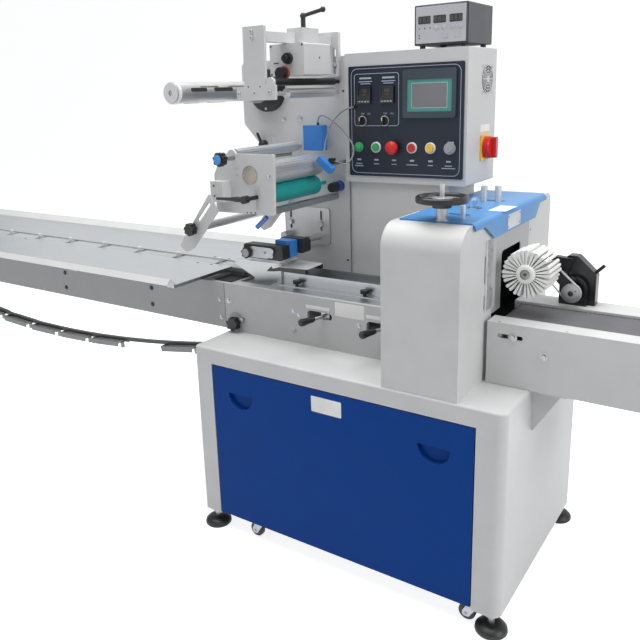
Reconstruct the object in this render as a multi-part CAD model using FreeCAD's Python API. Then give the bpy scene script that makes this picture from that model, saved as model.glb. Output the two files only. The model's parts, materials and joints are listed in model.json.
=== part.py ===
import FreeCAD, Part
import math
import os

# Horizontal flow wrapper: base cabinet, infeed chain conveyor with loading tray, film reel and
# film feed over the table, rotary end sealer, take-off brush, outfeed belt, control box.
# Millimetres. +X is the way the products travel, +Y points to the back, +Z is up.
# The machine is laid out from the base cabinet's front left corner on the floor, then every
# sub-part is moved so that the origin lies under the middle of the whole machine.

# ---- driving dimensions ----------------------------------------------------------------------
BASE_LENGTH = 976.0
BASE_DEPTH = 648.0
BASE_BOTTOM = 58.0
BASE_TOP = 615.0
BASE_CORNER_R = 24.0
BASE_LEFT_R = 10.0
BASE_EDGE_R = 7.0
DOOR_SIDE_MARGIN = 68.0
DOOR_BOTTOM = 65.0
DOOR_TOP = 563.0
DOOR_THICKNESS = 18.0
DOOR_GAP = 3.0
PULL_R = 45.0
PULL_INSET = 105.0
CHAIN_WELL_LENGTH = 190.0
CHAIN_WELL_WIDTH = 130.0
CHAIN_WELL_FLOOR = 380.0

FOOT_INSET = 27.0
FOOT_R = 42.0
FOOT_PAD_HEIGHT = 26.0
FOOT_STUD_R = 9.0
CASTER_LEFT_X = 202.0
CASTER_RIGHT_X = 898.0
CASTER_INSET_Y = 34.0
CASTER_WHEEL_R = 23.0
CASTER_WHEEL_WIDTH = 22.0
CASTER_FLOOR_GAP = 3.0
CASTER_TRAIL = 16.0
RUNNING_FIT = 0.05           # radial play of a pin in its bore
SEAT_GAP = 0.3               # between two pieces that lie against each other

PRODUCT_Y = 305.0            # middle of the product path
FRAME_FRONT_Y = 169.0        # outer face of the conveyor frames' near side
FRAME_BACK_Y = 441.0
TABLE_PLATE = 12.0
TABLE_LEFT_X = -14.0
TABLE_TOP = 770.0
SEALER_LEFT_X = 645.0
SEALER_RIGHT_X = 852.0
DECK_SHEET = 5.0
GUIDE_HALF_GAP = 44.0
GUIDE_TOP = 806.0
GUIDE_SHEET = 2.5
GUIDE_FOOT = 32.0
GUIDE_LEFT_X = 160.0
FORMER_LEFT_X = 0.0
FORMER_RIGHT_X = 150.0
FORMER_HALF_IN = 92.0
FORMER_HALF_OUT = 47.0
FORMER_TOP_IN = 842.0
FORMER_TOP_OUT = 830.0
FORMER_SHEET = 2.5
SHEET = 2.5

INFEED_END_X = -2600.0
INFEED_SHEET = 4.0
TRAY_Z = 797.0
TRAY_SHEET = 2.5
TRAY_END_X = -64.0
TRAY_SLOT_HALF = 34.0
TRAY_HALF_WIDTH = 294.0
TRAY_LIP_OUT = 29.0
TRAY_LIP_UP = 22.0
TRAY_HEM_OUT = 15.0
TRAY_HEM_DOWN = 17.0
INFEED_BAY = 470.0
LEG_X = -2330.0
LEG_TUBE = 40.0

CHAIN_PITCH = 200.0          # from one pusher to the next
CHAIN_WIDTH = 14.0
CHAIN_HEIGHT = 12.0
CHAIN_TOP_Z = 780.0
SPROCKET_R = 38.0
TAIL_SPROCKET_R = 46.0
DRIVE_SPROCKET_X = 84.0
DRIVE_SPROCKET_Z = 500.0
CHAIN_LOW_X = -1160.0
CHAIN_LOW_Z = 404.0
FLIGHT_LENGTH = 168.0
FLIGHT_WIDTH = 56.0
FLIGHT_HEIGHT = 8.0
LUG_R = 6.0
LUG_HEIGHT = 32.0

OUTFEED_LEFT_X = 862.0
OUTFEED_RIGHT_X = 1560.0
OUTFEED_FRONT_Y = 165.0
OUTFEED_BACK_Y = 460.0
OUTFEED_TOP = 781.0
BELT_NEAR_Y = 222.0
BELT_FAR_Y = 372.0
BELT_DROP = 6.0
BELT_THICKNESS = 2.5
BELT_ROLLER_R = 24.0

COVER_FRONT_Y = 4.0
COVER_NEAR_Y = 217.0         # the near cover's inner face
COVER_FAR_Y = 501.0          # the far cover's inner face
COVER_BACK_Y = 700.0
COVER_TOP = 1038.0
COVER_NOSE_R = 64.0
HOOD_SHEET = 4.0
HOOD_SKIRT_Z = 986.0
WINDOW_SHEET = 3.0

WHEEL_X = 766.0
WHEEL_Y = 93.0
WHEEL_Z = COVER_TOP + 56
WHEEL_R = 64.0
WHEEL_COLLAR = 13.0          # height of the black collar under the rim

BRUSH_X = 932.0
BRUSH_Z = 894.0
BRUSH_NEAR_Y = 232.0
BRUSH_FAR_Y = 330.0
BRUSH_R = 62.0
BRUSH_HUB_R = 24.0
BRUSH_PADDLES = 30
PULLEY_X = 1009.0
PULLEY_Z = 819.0
PULLEY_R = 25.0
PULLEY_NEAR_Y = 372.0
PULLEY_WIDTH = 14.0
GROOVE_DEPTH = 6.0
BRUSH_PULLEY_R = 19.0
SPINDLE_R = 6.0
HOUSING_Y = 399.0
ARM_BACK_Y = 414.0

PEDESTAL_LEFT_X = 292.0
PEDESTAL_RIGHT_X = 634.0
BOX_FRONT_Y = 430.0
BOX_BOTTOM = COVER_TOP + 40
BOX_TOP = BOX_BOTTOM + 383
BOX_RIGHT_X = 688.0
PANEL_MARGIN = 15.0
PANEL_SHEET = 3.0

WALL_FRONT_Y = 450.0
WALL_THICKNESS = 12.0
WALL_TOP = 1457.0
REEL_X = -15.0
REEL_Z = 1362.0
REEL_R = 30.0
REEL_NECK_R = 24.0
REEL_LAND_Y = 374.0          # the tube is full size from its end disc to here
REEL_HUB_R = 68.0
REEL_FRONT_Y = -5.0
FILM_PLATE_Y = 100.0         # front faces of the two hanging plates
FILM_PLATE = 10.0
ARM_Y = 56.0                 # front face of the near slanted arm
ARM_SHEET = 6.0
FAR_ARM_Y = 444.0
CABLE_R = 2.25
PANEL_CABLE = [(328, 427, 1305), (328, 412, 1305), (316, 404, 1301), (297, 401, 1292),
               (280, 397, 1277), (267, 390, 1258), (259, 383, 1236), (256, 374, 1213),
               (256, 364, 1191), (260, 354, 1169), (269, 347, 1150), (285, 347, 1150)]
AMPLIFIER_CABLE = [(205, 408, 1260), (205, 408, 1275), (219, 409, 1283), (242, 409, 1274),
                   (264, 409, 1261), (285, 408, 1246), (305, 406, 1229), (322, 403, 1211),
                   (336, 398, 1194), (344, 391, 1177), (345, 383, 1161), (339, 372, 1145),
                   (329, 360, 1136), (317, 347, 1147), (301, 347, 1147)]

X_MIDDLE = (INFEED_END_X + OUTFEED_RIGHT_X) / 2
Y_MIDDLE = (PRODUCT_Y - TRAY_HALF_WIDTH - TRAY_LIP_OUT - TRAY_HEM_OUT + COVER_BACK_Y) / 2


# ---- shape helpers ---------------------------------------------------------------------------
def vec(x, y, z):
    return FreeCAD.Vector(x, y, z)


def block(x0, x1, y0, y1, z0, z1):
    return Part.makeBox(x1 - x0, y1 - y0, z1 - z0, vec(x0, y0, z0))


def rod(start, end, radius):
    axis = end - start
    return Part.makeCylinder(radius, axis.Length, start, axis)


def rod_y(x, z, y0, y1, radius):
    return rod(vec(x, y0, z), vec(x, y1, z), radius)


def rod_z(x, y, z0, z1, radius):
    return rod(vec(x, y, z0), vec(x, y, z1), radius)


def rod_x(y, z, x0, x1, radius):
    return rod(vec(x0, y, z), vec(x1, y, z), radius)


def outline(points, radii=0.0):
    """A closed flat face through the points, each corner rounded by its own radius."""
    count = len(points)
    if not isinstance(radii, (list, tuple)):
        radii = [radii] * count
    corners = []
    for i, point in enumerate(points):
        back = (points[i - 1] - point).normalize()
        ahead = (points[(i + 1) % count] - point).normalize()
        if radii[i] <= 0:
            corners.append((point, None, point))
            continue
        half = back.getAngle(ahead) / 2
        setback = radii[i] / math.tan(half)
        middle = (back + ahead).normalize() * (radii[i] / math.sin(half) - radii[i])
        corners.append((point + back * setback, point + middle, point + ahead * setback))
    edges = []
    for i, (start, middle, end) in enumerate(corners):
        if middle is not None:
            edges.append(Part.Arc(start, middle, end).toShape())
        following = corners[(i + 1) % count][0]
        if (following - end).Length > 1e-6:
            edges.append(Part.LineSegment(end, following).toShape())
    return Part.Face(Part.Wire(edges))


def plate_xz(points, y0, y1, radii=0.0):
    face = outline([vec(x, y0, z) for x, z in points], radii)
    return face.extrude(vec(0, y1 - y0, 0))


def plate_yz(points, x0, x1, radii=0.0):
    face = outline([vec(x0, y, z) for y, z in points], radii)
    return face.extrude(vec(x1 - x0, 0, 0))


def plate_xy(points, z0, z1, radii=0.0):
    face = outline([vec(x, y, z0) for x, y in points], radii)
    return face.extrude(vec(0, 0, z1 - z0))


def rectangle(a0, a1, b0, b1):
    return [(a0, b0), (a1, b0), (a1, b1), (a0, b1)]


def slot_xz(x0, x1, z, half, y0, y1):
    """A round-ended bar along X, for cutting slots in upright plates."""
    return plate_xz(rectangle(x0, x1, z - half, z + half), y0, y1, half * 0.999)


def join(first, *others):
    return first.multiFuse(list(others)).removeSplitter()


def cut(first, *others):
    return first.cut(Part.makeCompound(list(others)))


def ring(start, end, outer, inner):
    return rod(start, end, outer).cut(rod(start, end, inner))


def ring_y(x, z, y0, y1, outer, inner):
    return ring(vec(x, y0, z), vec(x, y1, z), outer, inner)


def turned(profile, origin, axis):
    """A solid of revolution: profile gives (distance along the axis, radius) pairs."""
    side = vec(0, 0, 1) if abs(axis.z) < 0.5 else vec(1, 0, 0)
    points = [origin + axis * along + side * radius for along, radius in profile]
    face = Part.Face(Part.makePolygon(points + [points[0]]))
    return face.revolve(origin, axis, 360)


def star_knob(origin, axis, radius, height, lobes=7):
    """A clamping knob with rounded lobes on a short neck."""
    body = rod(origin, origin + axis * height, radius)
    side = vec(0, 0, 1) if abs(axis.z) < 0.5 else vec(1, 0, 0)
    across = axis.cross(side)
    pockets = []
    for i in range(lobes):
        angle = 2 * math.pi * i / lobes
        centre = origin + (side * math.cos(angle) + across * math.sin(angle)) * radius * 1.22
        pockets.append(rod(centre - axis, centre + axis * (height + 1), radius * 0.38))
    return cut(body, *pockets)


def hex_bolt(origin, axis, across, head, shank_r, shank):
    """A hexagon head whose shank points back along the axis."""
    side = vec(0, 0, 1) if abs(axis.z) < 0.5 else vec(1, 0, 0)
    other = axis.cross(side)
    radius = across / math.sqrt(3)
    points = []
    for i in range(6):
        angle = math.pi * i / 3
        points.append(origin + (side * math.cos(angle) + other * math.sin(angle)) * radius)
    hexagon = Part.Face(Part.makePolygon(points + [points[0]])).extrude(axis * head)
    if shank <= 0:
        return hexagon
    return join(hexagon, rod(origin - axis * shank, origin, shank_r))


# ---- base cabinet ----------------------------------------------------------------------------
def door_edges():
    return DOOR_SIDE_MARGIN, BASE_LENGTH - DOOR_SIDE_MARGIN - 8


def base_cabinet():
    body = plate_xy(rectangle(0, BASE_LENGTH, 0, BASE_DEPTH), BASE_BOTTOM, BASE_TOP,
                    [BASE_LEFT_R, BASE_CORNER_R, BASE_CORNER_R, BASE_LEFT_R])
    rim = [edge for edge in body.Edges
           if all(abs(v.Point.z - BASE_TOP) < 0.01 for v in edge.Vertexes)]
    body = body.makeFillet(BASE_EDGE_R, rim)
    left, right = door_edges()
    recess = block(left - DOOR_GAP, right + DOOR_GAP, -1, DOOR_THICKNESS + 1,
                   BASE_BOTTOM - 1, DOOR_TOP + DOOR_GAP)
    half = CHAIN_WELL_WIDTH / 2
    well = block(-1, CHAIN_WELL_LENGTH, PRODUCT_Y - half, PRODUCT_Y + half,
                 CHAIN_WELL_FLOOR, BASE_TOP + 1)
    return cut(body, recess, well)


def base_door():
    left, right = door_edges()
    face = block(left, right, 0, DOOR_THICKNESS, DOOR_BOTTOM, DOOR_TOP)
    lift = block(left + 40, right - 40, DOOR_THICKNESS, DOOR_THICKNESS + 1, DOOR_BOTTOM + 40,
                 DOOR_TOP - 40)
    panel = join(face, lift)
    pockets = []
    for x in (left + PULL_INSET, right - PULL_INSET):
        z = DOOR_TOP - 78
        cup = rod_y(x, z, -1, 13, PULL_R)
        lid = block(x - PULL_R - 1, x + PULL_R + 1, -2, 14, z + 2, z + PULL_R + 1)
        pockets.append(cup.cut(lid))
    return cut(panel, *pockets)


def levelling_foot(x, y):
    top = FOOT_PAD_HEIGHT
    profile = [(0, 0), (0, FOOT_R - 3), (4, FOOT_R), (12, FOOT_R - 1), (19, FOOT_R - 7),
               (24, FOOT_R - 17), (top, 14), (top, 0)]
    pad = turned(profile, vec(x, y, 0), vec(0, 0, 1))
    stud = rod_z(x, y, FOOT_PAD_HEIGHT - 1, BASE_BOTTOM, FOOT_STUD_R)
    nut = hex_bolt(vec(x, y, BASE_BOTTOM - 12), vec(0, 0, 1), 30, 12, 0, 0)
    return join(pad, stud, nut)


def foot_places():
    return [(x, y) for x in (FOOT_INSET, BASE_LENGTH - FOOT_INSET)
            for y in (FOOT_INSET, BASE_DEPTH - FOOT_INSET)]


def caster_places():
    return [(x, y) for x in (CASTER_LEFT_X, CASTER_RIGHT_X)
            for y in (CASTER_INSET_Y, BASE_DEPTH - CASTER_INSET_Y)]


def caster_axle_z():
    return CASTER_FLOOR_GAP + CASTER_WHEEL_R


def caster_fork(x, y):
    """Swivel fork: a round top plate with two legs trailing to the axle."""
    top = BASE_BOTTOM
    half = CASTER_WHEEL_WIDTH / 2 + 2
    plate = rod_z(x, y, top - 4, top, 20)
    axle_x = x - CASTER_TRAIL
    legs = []
    for side in (-1, 1):
        y0 = y + side * half
        y1 = y + side * (half + 3)
        points = [(x - 13, top - 3), (x + 13, top - 3), (x + 10, top - 12),
                  (axle_x + 9, caster_axle_z() - 7), (axle_x - 9, caster_axle_z() - 7),
                  (axle_x - 9, caster_axle_z() + 6)]
        legs.append(plate_xz(points, min(y0, y1), max(y0, y1), [0, 0, 3, 6, 6, 3]))
    axle = rod_y(axle_x, caster_axle_z(), y - half - 5, y + half + 5, 4)
    return join(plate, legs[0], legs[1], axle)


def caster_wheel(x, y):
    half = CASTER_WHEEL_WIDTH / 2
    bore = 4 + RUNNING_FIT
    r = CASTER_WHEEL_R
    profile = [(-half, bore), (-half, r - 9), (-half + 3, r - 8), (-half + 3, r - 2),
               (-half + 5, r), (half - 5, r), (half - 3, r - 2), (half - 3, r - 8),
               (half, r - 9), (half, bore)]
    return turned(profile, vec(x - CASTER_TRAIL, y, caster_axle_z()), vec(0, 1, 0))


# ---- table unit ------------------------------------------------------------------------------
LEVERS = {"left": (307.0, 394.0, 715.0), "right": (509.0, 596.0, 712.0)}
LEVER_SLOT_HALF = 11.0
LEVER_REST = 0.70            # share of the slot's travel at which the lever rests


def lever_track(name):
    """The lever pin's x at the slot's two ends, and where it rests."""
    left, right, z = LEVERS[name]
    start = left + LEVER_SLOT_HALF + 1
    end = right - LEVER_SLOT_HALF - 1
    return start, end, start + (end - start) * LEVER_REST, z


def table_front_plate():
    plate = block(TABLE_LEFT_X, SEALER_LEFT_X, FRAME_FRONT_Y, FRAME_FRONT_Y + TABLE_PLATE,
                  BASE_TOP, TABLE_TOP)
    slots = []
    for left, right, z in LEVERS.values():
        slots.append(slot_xz(left, right, z, LEVER_SLOT_HALF, FRAME_FRONT_Y - 1,
                             FRAME_FRONT_Y + TABLE_PLATE + 1))
        slots.append(block(left, left + 18, FRAME_FRONT_Y - 1, FRAME_FRONT_Y + TABLE_PLATE + 1,
                           z - LEVER_SLOT_HALF - 7, z))
    return cut(plate, *slots)


def table_back_plate():
    return block(TABLE_LEFT_X, SEALER_LEFT_X, FRAME_BACK_Y - TABLE_PLATE, FRAME_BACK_Y - 0.5,
                 BASE_TOP, TABLE_TOP)


def table_deck():
    """Stainless deck between the two side plates, with the former's throat and the seal slot."""
    y0 = FRAME_FRONT_Y + TABLE_PLATE
    y1 = FRAME_BACK_Y - TABLE_PLATE
    deck = block(TABLE_LEFT_X, SEALER_LEFT_X, y0, y1, TABLE_TOP - DECK_SHEET, TABLE_TOP)
    throat = plate_xy([(17, PRODUCT_Y - 96), (139, PRODUCT_Y - 96), (131, PRODUCT_Y - 5),
                       (42, PRODUCT_Y - 5)], TABLE_TOP - 20, TABLE_TOP + 1, 4)
    seal = block(150, SEALER_LEFT_X - 25, PRODUCT_Y - 5, PRODUCT_Y + 5, TABLE_TOP - 20,
                 TABLE_TOP + 1)
    return cut(deck, throat, seal)


def product_guide(side):
    """An angle guide: upright fence beside the product path and a foot screwed to the deck."""
    inner = PRODUCT_Y + side * GUIDE_HALF_GAP
    outer = inner + side * GUIDE_SHEET
    tip = inner + side * GUIDE_FOOT
    points = [(inner, TABLE_TOP), (inner, GUIDE_TOP), (outer, GUIDE_TOP),
              (outer, TABLE_TOP + GUIDE_SHEET), (tip, TABLE_TOP + GUIDE_SHEET), (tip, TABLE_TOP)]
    return plate_yz(points, GUIDE_LEFT_X, SEALER_LEFT_X + 60)


def thumb_screw(x, y):
    head = star_knob(vec(x, y, TABLE_TOP + GUIDE_SHEET + 7), vec(0, 0, 1), 13, 10, 5)
    neck = rod_z(x, y, TABLE_TOP + GUIDE_SHEET, TABLE_TOP + GUIDE_SHEET + 8, 5)
    return join(head, neck)


def tapered_duct(x0, x1, half0, half1, z_top0, z_top1, z_low):
    """A four-sided duct whose width and height change evenly from x0 to x1."""
    ends = []
    for x, half, z_top in ((x0, half0, z_top0), (x1, half1, z_top1)):
        corners = [vec(x, PRODUCT_Y - half, z_low), vec(x, PRODUCT_Y + half, z_low),
                   vec(x, PRODUCT_Y + half, z_top), vec(x, PRODUCT_Y - half, z_top)]
        ends.append(Part.makePolygon(corners + [corners[0]]))
    return Part.makeLoft(ends, True, True)


def film_former():
    """Forming shoulder: a tapering sheet-metal hood that folds the flat film into a tube."""
    t = FORMER_SHEET
    outer = tapered_duct(FORMER_LEFT_X, FORMER_RIGHT_X, FORMER_HALF_IN, FORMER_HALF_OUT,
                         FORMER_TOP_IN, FORMER_TOP_OUT, TABLE_TOP)
    inner = tapered_duct(FORMER_LEFT_X - 1, FORMER_RIGHT_X + 1, FORMER_HALF_IN - t,
                         FORMER_HALF_OUT - t, FORMER_TOP_IN - t, FORMER_TOP_OUT - t, TABLE_TOP - 1)
    mouth = plate_xz([(FORMER_LEFT_X - 2, TABLE_TOP - 2), (FORMER_LEFT_X - 2, TABLE_TOP + 58),
                      (FORMER_LEFT_X + 62, TABLE_TOP + 14), (FORMER_LEFT_X + 62, TABLE_TOP - 2)],
                     PRODUCT_Y - 200, PRODUCT_Y + 200)
    return join(cut(outer, inner, mouth), *former_outlet())


def former_outlet():
    """Two bars above the product guides and the cover plate between them."""
    half = FORMER_HALF_OUT + 2
    z0 = GUIDE_TOP + 1
    z1 = z0 + 14
    x1 = FORMER_RIGHT_X + 95
    bars = [block(FORMER_RIGHT_X - 38, x1, PRODUCT_Y - half, PRODUCT_Y - half + 12, z0, z1),
            block(FORMER_RIGHT_X - 38, x1, PRODUCT_Y + half - 12, PRODUCT_Y + half, z0, z1)]
    cover = block(FORMER_RIGHT_X - 8, x1, PRODUCT_Y - half, PRODUCT_Y + half, z1 - 1, z1 + 2)
    return bars + [cover]


def fin_lever(name):
    """A rod through the slot with a rubber grip, on a slide block behind the plate."""
    _, _, x, z = lever_track(name)
    direction = vec(-27, -62, -4).normalize()
    pin = rod_y(x, z, FRAME_FRONT_Y - 8, FRAME_FRONT_Y + TABLE_PLATE + 14, 5)
    elbow = vec(x, FRAME_FRONT_Y - 8, z)
    shaft = rod(elbow, elbow + direction * 34, 5)
    ball = Part.makeSphere(5, elbow)
    grip_start = elbow + direction * 26
    profile = [(0, 0), (0, 6.5), (6, 8.5), (20, 9), (38, 11), (46, 11), (50, 8), (50, 0)]
    grip = turned_along(profile, grip_start, direction)
    slider = block(x - 14, x + 14, FRAME_FRONT_Y + TABLE_PLATE + SEAT_GAP,
                   FRAME_FRONT_Y + TABLE_PLATE + 14, z - 16, z + 16)
    return join(pin, ball, shaft, grip, slider)


def turned_along(profile, origin, axis):
    side = axis.cross(vec(0, 0, 1)).normalize()
    points = [origin + axis * along + side * radius for along, radius in profile]
    face = Part.Face(Part.makePolygon(points + [points[0]]))
    return face.revolve(origin, axis, 360)


# ---- infeed conveyor -------------------------------------------------------------------------
def infeed_side(side):
    """One long side sheet with an inward flange along its top and bottom."""
    outer = FRAME_FRONT_Y if side < 0 else FRAME_BACK_Y
    inner = outer - side * INFEED_SHEET
    lip = outer - side * 26
    z0 = BASE_TOP + 4
    points = [(outer, z0), (outer, TABLE_TOP), (lip, TABLE_TOP), (lip, TABLE_TOP - INFEED_SHEET),
              (inner, TABLE_TOP - INFEED_SHEET), (inner, z0 + INFEED_SHEET),
              (lip, z0 + INFEED_SHEET), (lip, z0)]
    return plate_yz(points, INFEED_END_X + 20, TABLE_LEFT_X)


def tray(side):
    """One half of the loading tray: flat sheet, raised lip, hem turned down outside."""
    fold = PRODUCT_Y + side * TRAY_HALF_WIDTH
    crest = fold + side * TRAY_LIP_OUT
    hem = crest + side * TRAY_HEM_OUT
    slot = PRODUCT_Y + side * TRAY_SLOT_HALF
    t = TRAY_SHEET
    top = TRAY_Z
    points = [(slot, top - t), (slot, top), (fold, top), (crest, top + TRAY_LIP_UP),
              (hem, top + TRAY_LIP_UP - TRAY_HEM_DOWN),
              (hem - side * 2, top + TRAY_LIP_UP - TRAY_HEM_DOWN - 1.5),
              (crest, top + TRAY_LIP_UP - t * 1.4), (fold + side * 1.0, top - t)]
    return plate_yz(points, INFEED_END_X, TRAY_END_X)


def bay_places():
    """X of the cross members, one a bay, that stop short of the tail sprocket."""
    first = TRAY_END_X - 60
    last = tail_centre()[0] + TAIL_SPROCKET_R + 40
    count = int((first - last) // INFEED_BAY) + 1
    return [first - i * INFEED_BAY for i in range(count)]


def tray_bearer(x):
    """Cross bearer under the tray, notched in the middle for the chain."""
    z1 = TRAY_Z - TRAY_SHEET
    bar = block(x - 15, x + 15, PRODUCT_Y - TRAY_HALF_WIDTH + 30, PRODUCT_Y + TRAY_HALF_WIDTH - 30,
                TABLE_TOP, z1)
    notch = block(x - 16, x + 16, PRODUCT_Y - TRAY_SLOT_HALF, PRODUCT_Y + TRAY_SLOT_HALF,
                  TABLE_TOP - 1, z1 + 1)
    return bar.cut(notch)


def chain_rail():
    """Track bar that the upper chain run slides on, tied to both side sheets by cross straps."""
    z1 = CHAIN_TOP_Z - CHAIN_HEIGHT
    x0 = tail_centre()[0] + TAIL_SPROCKET_R + 10
    rail = block(x0, TABLE_LEFT_X - 1, PRODUCT_Y - 12, PRODUCT_Y + 12, z1 - 12, z1)
    straps = []
    for x in bay_places():
        straps.append(block(x - 12, x + 12, FRAME_FRONT_Y + INFEED_SHEET,
                            FRAME_BACK_Y - INFEED_SHEET, z1 - 24, z1 - 12))
    return join(rail, *straps)


def infeed_leg(side):
    """A square-tube leg under one side sheet, with its levelling foot."""
    y = (FRAME_FRONT_Y + LEG_TUBE / 2) if side < 0 else (FRAME_BACK_Y - LEG_TUBE / 2)
    half = LEG_TUBE / 2
    post = block(LEG_X - half, LEG_X + half, y - half, y + half, BASE_BOTTOM, BASE_TOP + 4)
    return join(post, levelling_foot(LEG_X, y))


def infeed_stand():
    half = LEG_TUBE / 2
    rail = block(LEG_X - half, LEG_X + half, FRAME_FRONT_Y + LEG_TUBE, FRAME_BACK_Y - LEG_TUBE,
                 180, 180 + LEG_TUBE)
    return join(infeed_leg(-1), infeed_leg(1), rail)


def tail_centre():
    return INFEED_END_X + 20 + TAIL_SPROCKET_R + 24, CHAIN_TOP_Z - CHAIN_HEIGHT - TAIL_SPROCKET_R


def sprocket(x, z, radius, teeth, y_half=4.0):
    """Toothed chain wheel on a hub, cut to sit just inside the chain."""
    disc = rod_y(x, z, PRODUCT_Y - y_half, PRODUCT_Y + y_half, radius - 1.5)
    hub = rod_y(x, z, PRODUCT_Y - 16, PRODUCT_Y + 16, radius * 0.45)
    gaps = []
    for i in range(teeth):
        angle = 2 * math.pi * i / teeth
        gaps.append(rod_y(x + radius * math.cos(angle), z + radius * math.sin(angle),
                          PRODUCT_Y - y_half - 1, PRODUCT_Y + y_half + 1, radius * 0.11))
    return join(cut(disc, *gaps), hub)


def tail_shaft():
    x, z = tail_centre()
    shaft = rod_y(x, z, FRAME_FRONT_Y + INFEED_SHEET, FRAME_BACK_Y - INFEED_SHEET, 10)
    return join(sprocket(x, z, TAIL_SPROCKET_R, 16), shaft)


def drive_shaft():
    half = CHAIN_WELL_WIDTH / 2
    shaft = rod_y(DRIVE_SPROCKET_X, DRIVE_SPROCKET_Z, PRODUCT_Y - half, PRODUCT_Y + half, 10)
    return join(sprocket(DRIVE_SPROCKET_X, DRIVE_SPROCKET_Z, SPROCKET_R, 14), shaft)


def sag_points():
    """Middle line of the hanging return run, from the drive sprocket to the tail sprocket."""
    tail_x, tail_z = tail_centre()
    low_z = CHAIN_LOW_Z
    half = CHAIN_HEIGHT / 2
    left_end = vec(tail_x, PRODUCT_Y, tail_z - TAIL_SPROCKET_R - half)
    right_end = vec(DRIVE_SPROCKET_X, PRODUCT_Y, DRIVE_SPROCKET_Z + SPROCKET_R + half)
    k_left = (left_end.z - low_z) / (left_end.x - CHAIN_LOW_X) ** 2
    k_right = (right_end.z - low_z) / (right_end.x - CHAIN_LOW_X) ** 2
    links = []
    x = right_end.x
    while x > left_end.x:
        k = k_right if x > CHAIN_LOW_X else k_left
        links.append(vec(x, PRODUCT_Y, low_z + k * (x - CHAIN_LOW_X) ** 2))
        x -= CHAIN_PITCH / 2
    links.append(left_end)
    return links


def chain_bar(start, end):
    """One straight stretch of chain between two joints."""
    along = (end - start).normalize()
    up = along.cross(vec(0, 1, 0))
    half = CHAIN_HEIGHT / 2
    across = vec(0, CHAIN_WIDTH / 2, 0)
    corners = [start + up * half - across, start - up * half - across,
               end - up * half - across, end + up * half - across]
    face = Part.Face(Part.makePolygon(corners + [corners[0]]))
    bar = face.extrude(across * 2)
    return join(bar, rod(start - across, start + across, half), rod(end - across, end + across, half))


def flight_and_lug(start, along, up):
    """The plastic carrier plate of one pitch, with the pusher finger at its leading end."""
    across = vec(0, FLIGHT_WIDTH / 2, 0)
    base = start + up * (CHAIN_HEIGHT / 2)
    tip = base + along * FLIGHT_LENGTH
    corners = [base - across, tip - across, tip - across + up * FLIGHT_HEIGHT,
               base - across + up * FLIGHT_HEIGHT]
    face = Part.Face(Part.makePolygon(corners + [corners[0]]))
    plate = face.extrude(across * 2)
    foot = base + along * 12
    lug = rod(foot, foot + up * LUG_HEIGHT, LUG_R)
    return join(plate, lug)


def upper_chain():
    """The carrying run: chain on its rail with a flight and a pusher every pitch."""
    z = CHAIN_TOP_Z - CHAIN_HEIGHT / 2
    tail_x, _ = tail_centre()
    end_x = TABLE_LEFT_X - 20
    run = block(tail_x, end_x, PRODUCT_Y - CHAIN_WIDTH / 2, PRODUCT_Y + CHAIN_WIDTH / 2,
                CHAIN_TOP_Z - CHAIN_HEIGHT, CHAIN_TOP_Z)
    pieces = []
    x = end_x - FLIGHT_LENGTH + 45
    while x > tail_x:
        pieces.append(flight_and_lug(vec(x, PRODUCT_Y, z), vec(1, 0, 0), vec(0, 0, 1)))
        x -= CHAIN_PITCH
    return join(run, *pieces)


def return_chain():
    """The return run, hanging free in a long arc, flights and pushers upside down."""
    points = sag_points()
    pieces = [chain_bar(points[i], points[i + 1]) for i in range(len(points) - 1)]
    for i in range(1, len(points) - 3, 2):
        if i == 5:
            continue
        along = (points[i + 2] - points[i]).normalize()
        down = along.cross(vec(0, 1, 0))
        if down.z > 0:
            down = down * -1
        pieces.append(flight_and_lug(points[i] + along * 67, along, down))
    return join(pieces[0], *pieces[1:])


# ---- outfeed conveyor ------------------------------------------------------------------------
def outfeed_cover_near():
    """Near side cover: upright web, top flange, and a lip folded down beside the belt."""
    y0 = OUTFEED_FRONT_Y
    y1 = BELT_NEAR_Y - 2
    t = SHEET
    points = [(y0, BASE_TOP + 1), (y0, OUTFEED_TOP), (y1, OUTFEED_TOP), (y1, OUTFEED_TOP - 22),
              (y1 - t, OUTFEED_TOP - 22), (y1 - t, OUTFEED_TOP - t), (y0 + t, OUTFEED_TOP - t),
              (y0 + t, BASE_TOP + 1)]
    cover = plate_yz(points, OUTFEED_LEFT_X, OUTFEED_RIGHT_X)
    slot = slot_xz(889, 954, 747, 5.5, y0 - 1, y0 + t + 1)
    return cover.cut(slot)


def outfeed_cover_far():
    y0 = BELT_FAR_Y + 2
    y1 = OUTFEED_BACK_Y
    t = SHEET
    points = [(y1, BASE_TOP + 1), (y1, OUTFEED_TOP), (y0, OUTFEED_TOP), (y0, OUTFEED_TOP - 22),
              (y0 + t, OUTFEED_TOP - 22), (y0 + t, OUTFEED_TOP - t), (y1 - t, OUTFEED_TOP - t),
              (y1 - t, BASE_TOP + 1)]
    return plate_yz(points, OUTFEED_LEFT_X, OUTFEED_RIGHT_X)


def belt_rollers_x():
    return OUTFEED_LEFT_X + BELT_ROLLER_R + 6, OUTFEED_RIGHT_X - BELT_ROLLER_R - 8


def racetrack(x0, x1, z, radius, y0, y1):
    middle = block(x0, x1, y0, y1, z - radius, z + radius)
    return join(middle, rod_y(x0, z, y0, y1, radius), rod_y(x1, z, y0, y1, radius))


def outfeed_belt():
    x0, x1 = belt_rollers_x()
    radius = BELT_ROLLER_R + BELT_THICKNESS
    z = OUTFEED_TOP - BELT_DROP - radius
    outer = racetrack(x0, x1, z, radius, BELT_NEAR_Y, BELT_FAR_Y)
    inner = racetrack(x0, x1, z, BELT_ROLLER_R, BELT_NEAR_Y - 1, BELT_FAR_Y + 1)
    return outer.cut(inner)


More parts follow.
